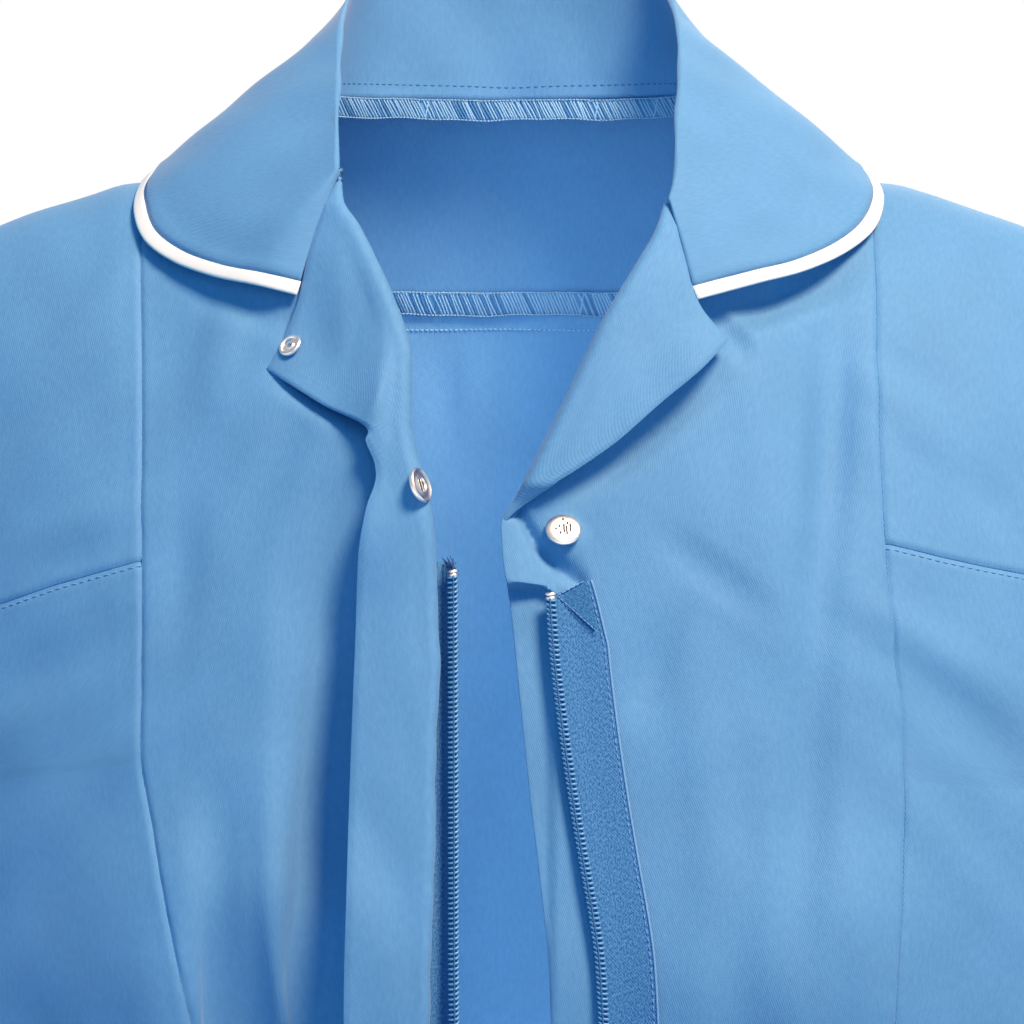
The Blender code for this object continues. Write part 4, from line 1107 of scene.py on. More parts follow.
# %% Make the sleeves
CUFF_CENTRE = np.array((272, -4, -262)) * MM
CUFF_TILT = math.radians(30)
CUFF_ACROSS = 55 * MM
CUFF_DEEP = 60 * MM
CUFF_HEM = 20 * MM
HEM_RISE = 0.3 * MM
SLEEVE_TUCK = 0.5 * MM    # the sleeve's edge goes this far under the body's edge
SLEEVE_TURNS = np.linspace(-180, 180, 121)    # degrees round the sleeve from its top
CLOTH_PER_DEGREE = 0.95 * MM
SLEEVE_CREASES = [
    # turn round the sleeve in degrees from the top, distance down it, lean, length, width, height
    (60, 60, 30, 90, 9, -1.6),
    (95, 90, 38, 100, 10, 1.4),
    (130, 70, 44, 90, 9, -1.8),
    (-70, 70, -30, 90, 9, -1.5),
    (-105, 95, -40, 100, 10, 1.3),
    (-140, 70, -44, 80, 9, -1.7),
    (20, 120, 10, 110, 12, 1.0),
    (-25, 130, -8, 110, 12, -0.9),
]


def sleeve_grid(side):
    """Lines from the armhole seam to the cuff, each bent at both ends."""
    around = np.radians(SLEEVE_TURNS)
    down = (1 - np.cos(around)) / 2
    front = around >= 0
    top = RIDGE(ARMHOLE_FRONT.y[-1])
    z = top + (UNDERARM - top) * down
    x = side * np.where(front, ARMHOLE_FRONT(z), ARMHOLE_BACK(z))
    y = np.where(front, form_front(x, z), form_back(x, z))
    start = np.stack((x, y, z), axis=1)
    axis = np.array((side * math.sin(CUFF_TILT), 0, -math.cos(CUFF_TILT)))
    outward = np.array((side * math.cos(CUFF_TILT), 0, math.sin(CUFF_TILT)))
    centre = CUFF_CENTRE * (side, 1, 1)
    way = np.stack((np.full_like(down, side), 0 * down, -0.38 * (1 - down) - 0.12 * down), axis=1)
    way /= np.linalg.norm(way, axis=1, keepdims=True)
    start = start - way * SLEEVE_TUCK
    end = (centre + outward * CUFF_ACROSS * np.cos(around)[:, None]
           - np.array((0, 1, 0)) * CUFF_DEEP * np.sin(around)[:, None])
    pull = np.linalg.norm(end - start, axis=1)[None, :, None]
    t = stations(220 * MM, 2.9 * MM, True, True)[:, None, None]
    ease = t * t * (3 - 2 * t)
    return start * (1 - ease) + end * ease + way * pull * t * (1 - t) ** 2 - axis * pull * t * t * (1 - t)


for side, word in ((RIGHT, "right"), (LEFT, "left")):
    panel = Panel(sleeve_grid(side), (side, 0, 0), (0.6, 0.5))
    height = 0.0 * panel.down
    for middle, reach, *shape in SLEEVE_CREASES:
        round_sleeve = (SLEEVE_TURNS - middle) * CLOTH_PER_DEGREE
        height = height + crease(round_sleeve, panel.down - reach * MM, *shape)
    panel.lift(PANEL_FACE + height + unevenness(panel.right, panel.down))
    band = HEM_RISE * step(CUFF_HEM, CUFF_HEM - 1.5 * MM, panel.up)
    hem = stitched_groove(panel.up, CUFF_HEM, panel.right) + band
    panel.lift(seam(panel.down, panel.right) + seam(panel.right, panel.down, 0.5 * MM)
               + seam(panel.left, panel.down, 0.5 * MM) + hem)
    dress("sleeve_" + word, panel, PANEL_WALL, round_edges=True)

# %% [markdown]
# ## Lapels and the turned-out fly
#
# The facing is sewn to the front's edge and turned out over it. At the top it is the lapel,
# and below that a strip beside the zip. Every level section is the same: flat behind the fold,
# half a turn round it, then flat again over the front. The grid follows that section by length.

# %% Edges of the lapels and the fly
LAPEL_LIFT = {RIGHT: -0.07, LEFT: 0.03}
FLY_LIFT = 0.05
FACING_FACE = 0.9 * MM
FACING_WALL = 1.25 * MM
FOLD_WAVE = 0.16 * MM
FOLD_INSET = 0.7 * MM     # the outer face stands this far beyond the middle of the wall
FREE_EDGE = {
    RIGHT: Curve([(-27.2, -51.6), (-30, -52.9), (-37, -55.8), (-46.3, -59.1), (-57.8, -62.3),
                  (-65.3, -64.2), (-76.4, -68.8), (-86.3, -74), (-86.6, -74.2), (-86.9, -73.8),
                  (-97.2, -57.8), (-107.6, -41.4), (-109.4, -42.3), (-116.6, -39.9), (-119.6, -39.6),
                  (-130, -42.6), (-145, -45), (-172, -45.9), (-216, -47.4), (-283, -48.9), (-330, -48),
                  (-380, -44.5), (-430, -38), (-460, -34.5), (-490, -33), (-700, -32)]),
    LEFT: Curve([(-36.1, 48.6), (-50.1, 52.4), (-66.8, 56.9), (-79, 65.7), (-79.3, 65.9), (-79.6, 65.6),
                 (-88.9, 56.9), (-98.7, 45), (-109.1, 33.1), (-117.5, 21.2), (-124, 10.7), (-130, 2.4),
                 (-134.5, -2)]),
}
UNFOLDED = Curve([(-700, 33), (-602, 33), (-575, 25), (-545, 11), (-520, 3), (-500, 0), (-28, 0)])
TURN_CREASE = ((-28.9, -70.4), (-41.5, -107.6))


# %% The turned cloth
def turned_grid(side, heights, columns):
    """Level sections of the cloth that turns round a front's fold."""
    z = heights[:, None] + 0.0 * columns
    wave = np.sin(z / (4.1 * MM) + 0.5) + 0.8 * np.sin(z / (7.3 * MM)) + 0.6 * np.sin(z / (2.3 * MM) + 2)
    wave = wave * step(-150 * MM, -175 * MM, z) if side == RIGHT else 0.0
    fold = FOLD[side](z) + side * FOLD_INSET + FOLD_WAVE * wave
    reach = np.abs(FREE_EDGE[side](z) - fold)
    radius = np.minimum(FOLD_RADIUS(z), 0.42 * reach)
    lead = LEAD + (UNFOLDED(z) if side == RIGHT else 0.0)
    root = fold + side * (LEAD + radius)
    length = LEAD + math.pi * radius + reach - radius
    is_lapel = step(-135 * MM, -105 * MM, z) if side == RIGHT else 1.0
    lift = FLY_LIFT + (LAPEL_LIFT[side] - FLY_LIFT) * is_lapel
    run = length * columns
    turn = np.clip((run - lead) / radius, 0, math.pi)
    rest = np.maximum(0, run - lead - math.pi * radius)
    x = root - side * (np.minimum(run, lead) + radius * np.sin(turn) - rest)
    proud = radius * (1 - np.cos(turn)) + lift * rest
    y = form_front(x, z) + layer(side, x if side == LEFT else np.minimum(x, 0.0), z) - proud
    return np.stack((x, y, z), axis=2), rest


def heights_between(*marks):
    """Heights through every mark: pairs of a height and the spacing that follows it."""
    result = [np.array([marks[0][0]])]
    for (upper, gap), (lower, _) in zip(marks, marks[1:]):
        count = max(1, round((upper - lower) / gap))
        result.append(np.linspace(upper, lower, count + 1)[1:])
    return np.concatenate(result) * MM


def make_facing(name, side, heights, columns, ripple):
    """Turned cloth with ripples and a rounded free edge; columns crowd towards the fold."""
    grid, rest = turned_grid(side, heights, (np.linspace(0, 1, columns + 1) ** 1.25)[None, :])
    panel = Panel(grid, FRONT_WAY, (0.2, 0.93))
    x, z = grid[..., 0], grid[..., 2]
    out = step(0, 6 * MM, rest)
    edge = -0.55 * MM * np.exp(-(panel.left / (1.1 * MM)) ** 2) * out
    panel.lift(FACING_FACE + ripple(x, z, rest) * out + edge + unevenness(x * 1.3, z, 0.25 * MM) * out)
    dress(name, panel, FACING_WALL, "folded", "front_centre_right_cloth", round_edges=True)


# %% Make the lapels and the fly
def right_ripple(x, z, rest):
    """The ridge where lapel and fly part, a soft fold in the lapel, and the fly's slow waves."""
    (x0, z0), (x1, z1) = ((a * MM, b * MM) for a, b in TURN_CREASE)
    length = math.hypot(x1 - x0, z1 - z0)
    off = beyond(x, z, TURN_CREASE)
    along = ((x - x0) * (x1 - x0) + (z - z0) * (z1 - z0)) / length ** 2
    crest = bump((along - 0.6) / 0.9)
    slope = np.where(off > 0, -0.20 * off, 0.05 * off)
    ridge = (3.4 * MM * np.exp(-np.abs(off) / (7 * MM)) + np.clip(slope, -2.8 * MM, 0)) * crest
    lapel = step(-112 * MM, -98 * MM, z)
    soft = -0.9 * MM * bump((x + 58 * MM) / (9 * MM)) * bump((z + 70 * MM) / (34 * MM))
    waves = 0.7 * MM * np.sin(z / (21 * MM) + 0.6) + 0.5 * MM * np.sin(z / (9.5 * MM) + 2.1)
    return ridge + soft + waves * (1 - lapel) * step(4 * MM, 20 * MM, rest)


def left_ripple(x, z, rest):
    """A hollow and a swell in the left lapel, whose corner lifts a little."""
    hollow = -0.9 * MM * bump((x - 46 * MM) / (13 * MM)) * bump((z + 84 * MM) / (30 * MM))
    swell = 0.8 * MM * bump((x - 24 * MM) / (10 * MM)) * bump((z + 104 * MM) / (22 * MM))
    return hollow + swell + 2.2 * MM * step(8 * MM, 34 * MM, rest) * step(-70 * MM, -88 * MM, z)


make_facing("lapel_and_fly_right", RIGHT,
            heights_between((-29, 1.6), (-65.3, 1.2), (-86.6, 0.8), (-107.6, 0.7), (-112, 1.4),
                            (-135, 2.3), (-300, 4.0), (-500, 3.0), (-610, 4.5), (-700, 1)),
            56, right_ripple)
make_facing("lapel_left", LEFT,
            heights_between((-37.5, 1.4), (-66.8, 0.8), (-79.3, 0.8), (-124, 0.7), (-133.5, 1)),
            52, left_ripple)

# %% [markdown]
# ## Collar and piping
#
# The collar stands up from the neck seam, rolls over and falls to a rounded edge. Each station
# round the neck gives three places: where the collar is sewn on, the top of its roll, and its
# outer edge. Smooth curves join the stations. White piping is sewn into the edge, as a flat
# tube that follows the same edge points.

# %% Collar stations
COLLAR_FACE = 0.65 * MM
COLLAR_WALL = 1.3 * MM
STAND_ROLL = 0.45 * MM
FALL_BULGE = 1.6 * MM
PIPING_WIDTH = 4.6 * MM
PIPING_DEPTH = 1.4 * MM
STAND_STITCH = 5.5 * MM
STAND_SHARES = 1 - (1 - np.linspace(0, 1, 21)[:-1]) ** 1.5    # closer together towards the roll
ROLL_POINTS = 12
FALL_SHARES = np.linspace(0, 1, 44) ** 1.5
COLLAR_COLUMNS = ("neck_x", "neck_z", "roll_x", "roll_y", "roll_z", "edge_x", "edge_z", "stand_off")
COLLAR = [
    (0, 0, 0, 57, 43, 0, -26, 7),
    (14, 0, 13.5, 56.6, 42.7, 21, -26.5, 7),
    (27, 0, 27, 53.8, 41.5, 42, -27.5, 7),
    (40, 0, 39, 47.5, 39, 62, -29, 7),
    (52, 0, 46.6, 38, 36, 80, -31, 6.5),
    (61, 0, 50.8, 27, 32, 95.5, -32, 6.5),
    (66.5, 0, 52.2, 14, 27, 107, -31, 4),
    (68.5, 0, 53, 0, 21, 113, -26, 2.2),
    (66, -5, 53.2, -15, 12, 116, -35.5, 4),
    (62.5, -12, 53.1, -32, 1, 112.5, -46.5, 6.5),
    (59, -18, 53, -45, -9, 103, -54, 7),
    (55.5, -24, 52.8, -56, -18.5, 90, -59, 7.5),
    (53, -29, 52.6, -63.5, -26, 76.5, -62, 8),
]
GORGE = {RIGHT: (-27.2, -65.1), LEFT: (-36.1, -66.6)}    # heights of the two ends of the seam
LEFT_ROLL_IN = 1.5 * MM
LEFT_EDGE_RISE = 3.2 * MM      # the left half of the collar lies a little higher at the front


# %% Sections of the collar
def point(x, y, z):
    return np.array((float(x), float(y), float(z)))


def collar_station(side, row):
    """Points of one station, from the neck seam over the roll to the outer edge."""
    size = dict(zip(COLLAR_COLUMNS, np.array(row) * MM))
    if size["neck_z"] >= -1 * MM:
        x, z = side * size["neck_x"], BACK_NECK(size["neck_x"])
        neck = point(x, form_back(x, z), z)
    else:
        z = size["neck_z"]
        x = side * FRONT_NECK(z)
        neck = point(x, form_front(x, z) + layer(side, x, z), z)
    roll = point(side * size["roll_x"], size["roll_y"], size["roll_z"])
    if side == LEFT:
        roll[0] -= LEFT_ROLL_IN * bump((size["roll_y"] + 58 * MM) / (34 * MM))
    x, z, off = side * size["edge_x"], size["edge_z"], size["stand_off"]
    if side == LEFT:
        z += LEFT_EDGE_RISE * bump((size["roll_y"] + 32 * MM) / (46 * MM))
    if RIDGE(size["edge_x"]) - z < 1 * MM:
        edge = point(x, 0, RIDGE(size["edge_x"]) + off)
    elif size["roll_y"] > 3 * MM:
        edge = point(x, form_back(x, z) + off, z)
    else:
        edge = point(x, front_surface(side)(x, z) - off, z)
    outward = (edge - roll) * (1, 1, 0)
    outward /= np.linalg.norm(outward)
    up = point(0, 0, 1)
    centre = roll - up * STAND_ROLL
    inside = centre - outward * STAND_ROLL
    fall = (edge - centre) / np.linalg.norm(edge - centre)
    leave = up - fall * (up @ fall)
    leave /= np.linalg.norm(leave)
    last_angle = math.atan2(leave @ up, leave @ outward)
    points = [neck + (inside - neck) * t for t in STAND_SHARES]
    for angle in np.linspace(math.pi, last_angle, ROLL_POINTS, endpoint=False):
        points.append(centre + (outward * math.cos(angle) + up * math.sin(angle)) * STAND_ROLL)
    start = centre + leave * STAND_ROLL
    for t in FALL_SHARES:
        points.append(start + (edge - start) * t + leave * FALL_BULGE * 16 * (t * (1 - t)) ** 2)
    return points


def gorge_station(side):
    """The end of the collar, along the seam that joins it to the lapel."""
    top, notch = GORGE[side]
    end = []
    for t in FALL_SHARES:
        z = (top + (notch - top) * t) * MM
        x = FREE_EDGE[side](z)
        proud = 2 * FOLD_RADIUS(z) + LAPEL_LIFT[side] * abs(x - FOLD[side](z))
        end.append(point(x, form_front(x, z) + layer(side, x, z) - proud, z))
    inner = end[0] + point(side * 2.4, 3.6, 0.2) * MM
    turn = end[0] + point(side * 0.9, 1.6, 0.5) * MM
    hidden = len(STAND_SHARES) + ROLL_POINTS
    hook = []
    for t in np.linspace(0, 1, hidden, endpoint=False):
        hook.append(inner * (1 - t) ** 2 + turn * 2 * t * (1 - t) + end[0] * t * t)
    return hook + end


def spline(points, counts):
    """A Catmull-Rom curve through the first axis of an array, with counts steps in each gap."""
    result = []
    last = len(points) - 1
    for k, count in enumerate(counts):
        a, b, c, d = points[max(0, k - 1)], points[k], points[k + 1], points[min(last, k + 2)]
        for number in range(count):
            t = number / count
            result.append(0.5 * (2 * b + (c - a) * t + (2 * a - 5 * b + 4 * c - d) * t * t
                                 + (3 * b - a - 3 * c + d) * t ** 3))
    result.append(points[-1])
    return np.array(result)


stations_round = [(RIGHT, row) for row in reversed(COLLAR)] + [(LEFT, row) for row in COLLAR[1:]]
sections = [gorge_station(RIGHT)] + [collar_station(*pair) for pair in stations_round] + [gorge_station(LEFT)]
sections = spline(np.array(sections), [8] * (len(sections) - 1))
print("collar sections:", len(sections))

# %% Make the collar
def up_to_piping(section):
    """The cloth of one section, whose fall stops where the piping begins."""
    hidden = len(STAND_SHARES) + ROLL_POINTS
    line = section[hidden:]
    reach = np.concatenate(([0.0], np.cumsum(np.linalg.norm(np.diff(line, axis=0), axis=1))))
    wanted = FALL_SHARES * (reach[-1] - PIPING_WIDTH + 0.2 * MM)
    cut = np.stack([np.interp(wanted, reach, line[:, k]) for k in range(3)], axis=1)
    return np.concatenate((section[:hidden], cut))


edge_points = sections[:, -1]
inward = sections[:, -2] - edge_points
inward /= np.linalg.norm(inward, axis=1, keepdims=True)
fall = np.array([up_to_piping(section) for section in sections])
collar_panel = Panel(np.swapaxes(fall, 0, 1), (0, 0, 1), (0.42, 0.5))
reach = collar_panel.up
rounded = (0.35 * MM * np.exp(-((reach - 2.5 * MM) / (2.0 * MM)) ** 2)
           - 0.5 * MM * np.exp(-(reach / (0.8 * MM)) ** 2))
place_x, place_y = collar_panel.points[..., 0], collar_panel.points[..., 1]
waves = unevenness(place_x, place_y + collar_panel.points[..., 2], 0.3 * MM)
from_ends = np.minimum(collar_panel.right, collar_panel.left)
settled = step(2 * MM, 14 * MM, from_ends)
behind = step(-5 * MM, 12 * MM, place_y)
stand_groove = stitched_groove(collar_panel.down, STAND_STITCH, collar_panel.right) * behind
collar_panel.lift(COLLAR_FACE + rounded + (waves + stand_groove) * settled)
dress("collar", collar_panel, COLLAR_WALL, "folded", "back_yoke_cloth")


# %% Make the piping
def piping_mesh(name, edge, inward, width, depth, sides=16):
    """A flat rounded tube just inside an edge."""
    along = np.gradient(edge, axis=0)
    along /= np.linalg.norm(along, axis=1, keepdims=True)
    proud = np.cross(inward, along)
    proud /= np.linalg.norm(proud, axis=1, keepdims=True)
    turns = 2 * math.pi * (np.arange(sides) + 0.5) / sides
    flat = np.sign(np.cos(turns)) * np.abs(np.cos(turns)) ** 0.55 * width / 2
    high = np.sign(np.sin(turns)) * np.abs(np.sin(turns)) ** 0.8 * depth / 2
    middle = edge + inward * width / 2
    rings = middle[:, None] + inward[:, None] * flat[None, :, None] + proud[:, None] * high[None, :, None]
    return new_mesh(name, rings.reshape(-1, 3).tolist(), ring_faces(len(rings), sides))


piping_tube = piping_mesh("collar_piping_cloth", edge_points, inward, PIPING_WIDTH, PIPING_DEPTH)
piping = add_piece("collar_piping_cloth", piping_tube, PIPING_CLOTH)
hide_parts("collar_piping")
piping_length = np.linalg.norm(np.diff(edge_points, axis=0), axis=1).sum()
print("piping:", round(float(piping_length) * 1000), "mm long")

# %% [markdown]
# ## Inside the neck
#
# Through the open neck the inner seams show. The neck seam and the yoke seam are overlocked:
# threads wrap the raw edges in close slanting loops, and a chain of thread closes them along
# both edges. Each is a narrow strip of seam allowance with its loops on top. The loops are
# uneven, so their slants are drawn from a seeded random generator, which gives the same
# threads each run. A few loops take a darker copy of the thread, as painted shade.

# %% Overlocked seam allowances
LOOP_LEAN = 2.1           # how far a loop leans, in millimetres
LEAN_SPREAD = 0.16        # and how much that varies
FORWARD_SHARE = 0.98      # the rest of the loops lean back
SHADED_SHARE = 0.15         # loops in deep blue thread
# loops in a darker copy of the thread: painted shade
LOOP_RADIUS = 0.33 * MM
loops_random = np.random.default_rng(11)


def allowance(name, half_span, heights, surface, wave_size, spacing):
    """A strip of seam allowance inside the back, and the overlock loops on it."""
    x = np.linspace(-half_span, half_span, round(half_span * 2 / (1.6 * MM)) + 1)[None, :]
    share = np.linspace(0, 1, len(heights))[:, None]
    wander = wave_size * (np.sin(x / (7 * MM)) + 0.6 * np.sin(x / (2.9 * MM) + 1))
    z = np.array(heights)[:, None] * MM + wander * (0.4 + 0.6 * share)
    strip = Panel(np.stack((x + 0.0 * z, surface(x, z), z), axis=2), FRONT_WAY)
    make_cloth(name, strip, 0.5 * MM, CLOTH)
    normals = strip.normals()
    top, foot = strip.points[0] + normals[0] * 0.2 * MM, strip.points[-1] + normals[-1] * 0.2 * MM
    reach = np.linspace(-half_span, half_span, len(top))
    threads = {"pale": [], "shaded": []}
    place = -half_span + 1 * MM
    while place < half_span - 1.5 * MM:
        lean = loops_random.normal(LOOP_LEAN, LEAN_SPREAD) * MM
        lean *= 1.0 if loops_random.random() < FORWARD_SHARE else -0.4
        ends = []
        for line, at in ((top, place - lean), (foot, place + lean * 0.5)):
            ragged = loops_random.normal(0, 0.14) * MM
            ends.append(np.array([np.interp(at, reach, line[:, k]) for k in range(3)]) + (0, 0, ragged))
        t = np.linspace(0, 1, 7)[:, None]
        bow = np.sin(math.pi * t) * np.array((loops_random.normal(0, 0.1), -0.22, 0)) * MM
        # painted shade: some loops take the darker copy of the thread
        shade = "shaded" if loops_random.random() < SHADED_SHARE else "pale"
        threads[shade].append((ends[0] * (1 - t) + ends[1] * t + bow, same_way(FRONT_WAY, 7)))
        place += spacing * loops_random.uniform(0.86, 1.14)
    tubes(name + "_pale_loops", threads["pale"], LOOP_RADIUS, PALE_THREAD)
    tubes(name + "_shaded_loops", threads["shaded"], LOOP_RADIUS, SHADED_THREAD)
    for line, word in ((top, "top"), (foot, "foot")):
        chain = line[1:-1] + np.array((0, -0.35, 0)) * MM
        stitches(f"{name}_{word}_chain", (chain, same_way(FRONT_WAY, len(chain))), pitch=1.2 * MM,
                 fill=0.7, radius=0.24 * MM, material=PALE_THREAD)


def yoke_inside(x, z):
    """Where the yoke's allowance lies, a little further off the cloth towards its top."""
    standing_off = np.clip((z + 66 * MM) / (6 * MM), 0, 1)
    return form_back(x, z) - (0.7 + 1.3 * standing_off) * MM


def neck_inside(x, z):
    return form_back(x, BACK_NECK(np.abs(x))) - 2.3 * MM + 0.0 * z


allowance("neck_allowance", 57 * MM, (1.2, -0.1, -1.6, -3.3, -5.0), neck_inside, 0.3 * MM, 0.95 * MM)
allowance("yoke_allowance", 172 * MM, (-59.2, -61.5, -64, -66.4), yoke_inside, 0.28 * MM, 1.05 * MM)

# %% [markdown]
# ## Topstitching
#
# Topstitching is sewn from the outside and shows as a row of short threads: beside the yoke
# seams, above the hem and the cuffs, and on the collar's stand. Each row runs at one distance
# from an edge of its panel, and the panel's grid gives that line. Small dents in the panels
# already wait for the threads. The back's row is sewn through, so it also shows inside.

# %% Rows of topstitching
HEM_STITCH = 20 * MM
YOKE_PITCH = 2.7 * MM
HEM_PITCH = 2.8 * MM
sewn_lines = []
for word in ("right", "left"):
    sewn_lines += [(f"yoke_stitches_{word}", "front_side_" + word, YOKE_TOPSTITCH, False, YOKE_PITCH),
                   (f"cuff_stitches_{word}", "sleeve_" + word, CUFF_HEM, True, HEM_PITCH),
                   (f"front_hem_stitches_{word}", "front_centre_" + word, HEM_STITCH, True, HEM_PITCH),
                   (f"side_hem_stitches_{word}", "front_side_" + word, HEM_STITCH, True, HEM_PITCH)]
sewn_lines += [("back_yoke_stitches", "back_panel", YOKE_STITCH, False, YOKE_PITCH),
               ("back_hem_stitches", "back_panel", HEM_STITCH, True, HEM_PITCH)]
for name, shell, distance, from_foot, pitch in sewn_lines:
    stitches(name, SHELLS[shell].across_line(distance, from_foot), pitch)

inner_points, inner_ways = SHELLS["back_panel"].across_line(YOKE_STITCH)
stitches("yoke_stitches_inside", (inner_points - inner_ways * (PANEL_WALL + 0.2 * MM), -inner_ways),
         pitch=1.6 * MM, fill=0.42, radius=0.26 * MM, material=PALE_THREAD)
stand_points, stand_ways = collar_panel.across_line(STAND_STITCH)
at_back = stand_points[:, 1] > 4 * MM
stitches("stand_stitches", (stand_points[at_back], stand_ways[at_back]), pitch=2.4 * MM, fill=0.6,
         rise=-0.1 * MM, material=DARK_STITCH)

# %% [markdown]
# ## The zip
#
# A coil zip is a nylon thread wound into a long flat coil and sewn to a woven tape. Each half of
# the open zip has its own coil, and the two mesh below the slider. The coil is one helix swept
# along the edge, since a real coil is one thread too. Its pitch is a millimetre and a half.

# %% Zip sizes
ZIP_TOP = {RIGHT: -146 * MM, LEFT: -152.8 * MM}
ZIP_FOOT = -668 * MM
TAPE_TOP = {RIGHT: -145.5, LEFT: -155.8}
COIL_PITCH = 1.5 * MM
COIL_WIRE = 0.37 * MM
COIL_WIDTH = 3.5 * MM
COIL_DEPTH = 2.3 * MM
MESHED_WIDTH = 2.6 * MM
TAPE_WIDTH = 14.5 * MM
TAPE_WALL = 0.5 * MM
COIL = {
    RIGHT: Curve([(-147, -16.9), (-157, -16.8), (-283, -16.4), (-330, -16.2), (-380, -12.8), (-430, -6.4),
                  (-454, -3.1), (-466, -1.5), (-700, -1.5)]),
    LEFT: Curve([(-152, 12.2), (-155, 12.4), (-172, 13.6), (-193, 16), (-216, 19.3), (-234, 22.3),
                 (-252, 25.5), (-264, 27.1), (-283, 28.2), (-310, 29), (-350, 26), (-390, 18.5),
                 (-430, 8.6), (-454, 3.1), (-466, 1.5), (-700, 1.5)]),
}
print("turns of each coil:", round((ZIP_TOP[RIGHT] - ZIP_FOOT) / COIL_PITCH))


# %% The coils
def coil_path(side, fine):
    """Middle of a coil, resampled so that its steps are even along its length."""
    z = np.linspace(ZIP_TOP[side] - 3.6 * MM, ZIP_FOOT, 1500)
    x = COIL[side](z)
    line = np.stack((x, form_front(x, z), z), axis=1)
    return resample(line, same_way(FRONT_WAY, len(line)), fine)


def make_coil(side, word):
    """One long thread in a flattened helix, and the sewing that holds it to the tape, dark enough to stand as
    painted shade in the coil's middle.
    """
    steps = 12
    place, way = coil_path(side, COIL_PITCH / steps)
    along = np.gradient(place, axis=0)
    along /= np.linalg.norm(along, axis=1, keepdims=True)
    across = np.cross(along, way) * side
    turn = 2 * math.pi * np.arange(len(place)) / steps
    meshed = step(-452 * MM, -464 * MM, place[:, 2])
    width = (COIL_WIDTH + (MESHED_WIDTH - COIL_WIDTH) * meshed) / 2 - COIL_WIRE
    depth = COIL_DEPTH / 2 - COIL_WIRE
    swing = np.cos(turn)
    flat = np.sign(swing) * np.abs(swing) ** 0.8
    slide = along * (0.18 * COIL_PITCH * np.sin(turn))[:, None]
    centres = place + across * (flat * width)[:, None] + way * (np.sin(turn) * depth)[:, None] + slide
    head = 1 + 0.18 * (swing * side < -0.4)
    thing = tubes(f"zip_coil_{word}_thread", [(centres, way)], COIL_WIRE * head, NYLON, sides=6)
    # The sewing is dark thread along the coil's middle; it also serves as painted shade of the middle groove.
    sewn = place[::steps // 2] + way[::steps // 2] * (COIL_DEPTH / 2) + across[::steps // 2] * 0.25 * MM
    tubes(f"zip_coil_{word}_sewing", [(sewn, way[::steps // 2])], 0.24 * MM, DARK_STITCH)
    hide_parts("zip_coil_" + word)


# %% The tapes
TAPE_DIP = 4.2 * MM       # the right tape runs this much deeper under the fold


def make_tape(side, word):
    """Woven tape from behind the coil to the sewn edge."""
    z = heights_between((TAPE_TOP[side], 1.1), (-200, 2.6), (-300, 4.2), (ZIP_FOOT / MM, 1))[:, None]
    widest = TAPE_WIDTH + COIL_WIDTH / 2
    near_top = 1.0
    if side == LEFT:
        near_top = 0.70 + 0.30 * step(-150 * MM, -172 * MM, z)
    share = np.linspace(0, 1, 15)[None, :]
    offset = -1.2 * MM + (widest * near_top + 1.2 * MM) * share
    x = COIL[side](z) + side * offset
    base = form_front(x, z)
    sewn = front_surface(side)(x, z) - side * 2.1 * MM
    settle = step(1.5 * MM, 8 * MM, offset)
    y = (base + 1.0 * MM) * (1 - settle) + sewn * settle
    if side == RIGHT:
        y = y + TAPE_DIP * step(0.9 * MM, 2.4 * MM, offset) * step(9.5 * MM, 6 * MM, offset)
    if side == LEFT:
        z = z + (offset / MM) * 0.40 * MM * step(-168 * MM, -156 * MM, z)
    panel = Panel(np.stack((x, y, z + 0.0 * x), axis=2), FRONT_WAY)
    panel.lift(TAPE_WALL * 0.5)
    thing = make_cloth(f"zip_tape_{word}_weave", panel, TAPE_WALL, TAPE)
    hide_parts("zip_tape_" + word)
    declare_sheet(thing, panel)
    stitches(f"tape_stitches_{word}", panel.down_last_column(1.3 * MM), pitch=2.3 * MM)
    edge_line, edge_ways = panel.down_last_column(0.1 * MM)
    tubes(f"tape_selvedge_{word}", [(edge_line + edge_ways * 0.1 * MM, edge_ways)], 0.36 * MM, THREAD,
          sides=8)


# %% The top stops and the folded tape end
def make_stop(side, word):
    """A top stop: a strip of metal crimped round the coil, seen as two small rounded claws."""
    z = ZIP_TOP[side] - 2.3 * MM
    x = COIL[side](z)
    face = form_front(x, z)
    claws = []
    for lower, reach in ((0.0, 1.5), (-1.15 * MM, 1.35)):
        bend = np.linspace(-1.15, 1.15, 9)
        centres = np.stack((x + np.sin(bend) * reach * MM, face - np.cos(bend) * 1.2 * MM + 0.35 * MM,
                            z + lower + 0.10 * MM * np.sin(bend * 2)), axis=1)
        claws.append((centres, same_way((0.0, 0.0, 1.0), 9)))
    stop = tubes(f"top_stop_{word}", claws, 0.50 * MM, NICKEL, sides=10)
    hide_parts("zip_stop_" + word)


TAPE_END_CORNERS = ((14.4, -155.6), (23.2, -150.9), (26.6, -166.6))


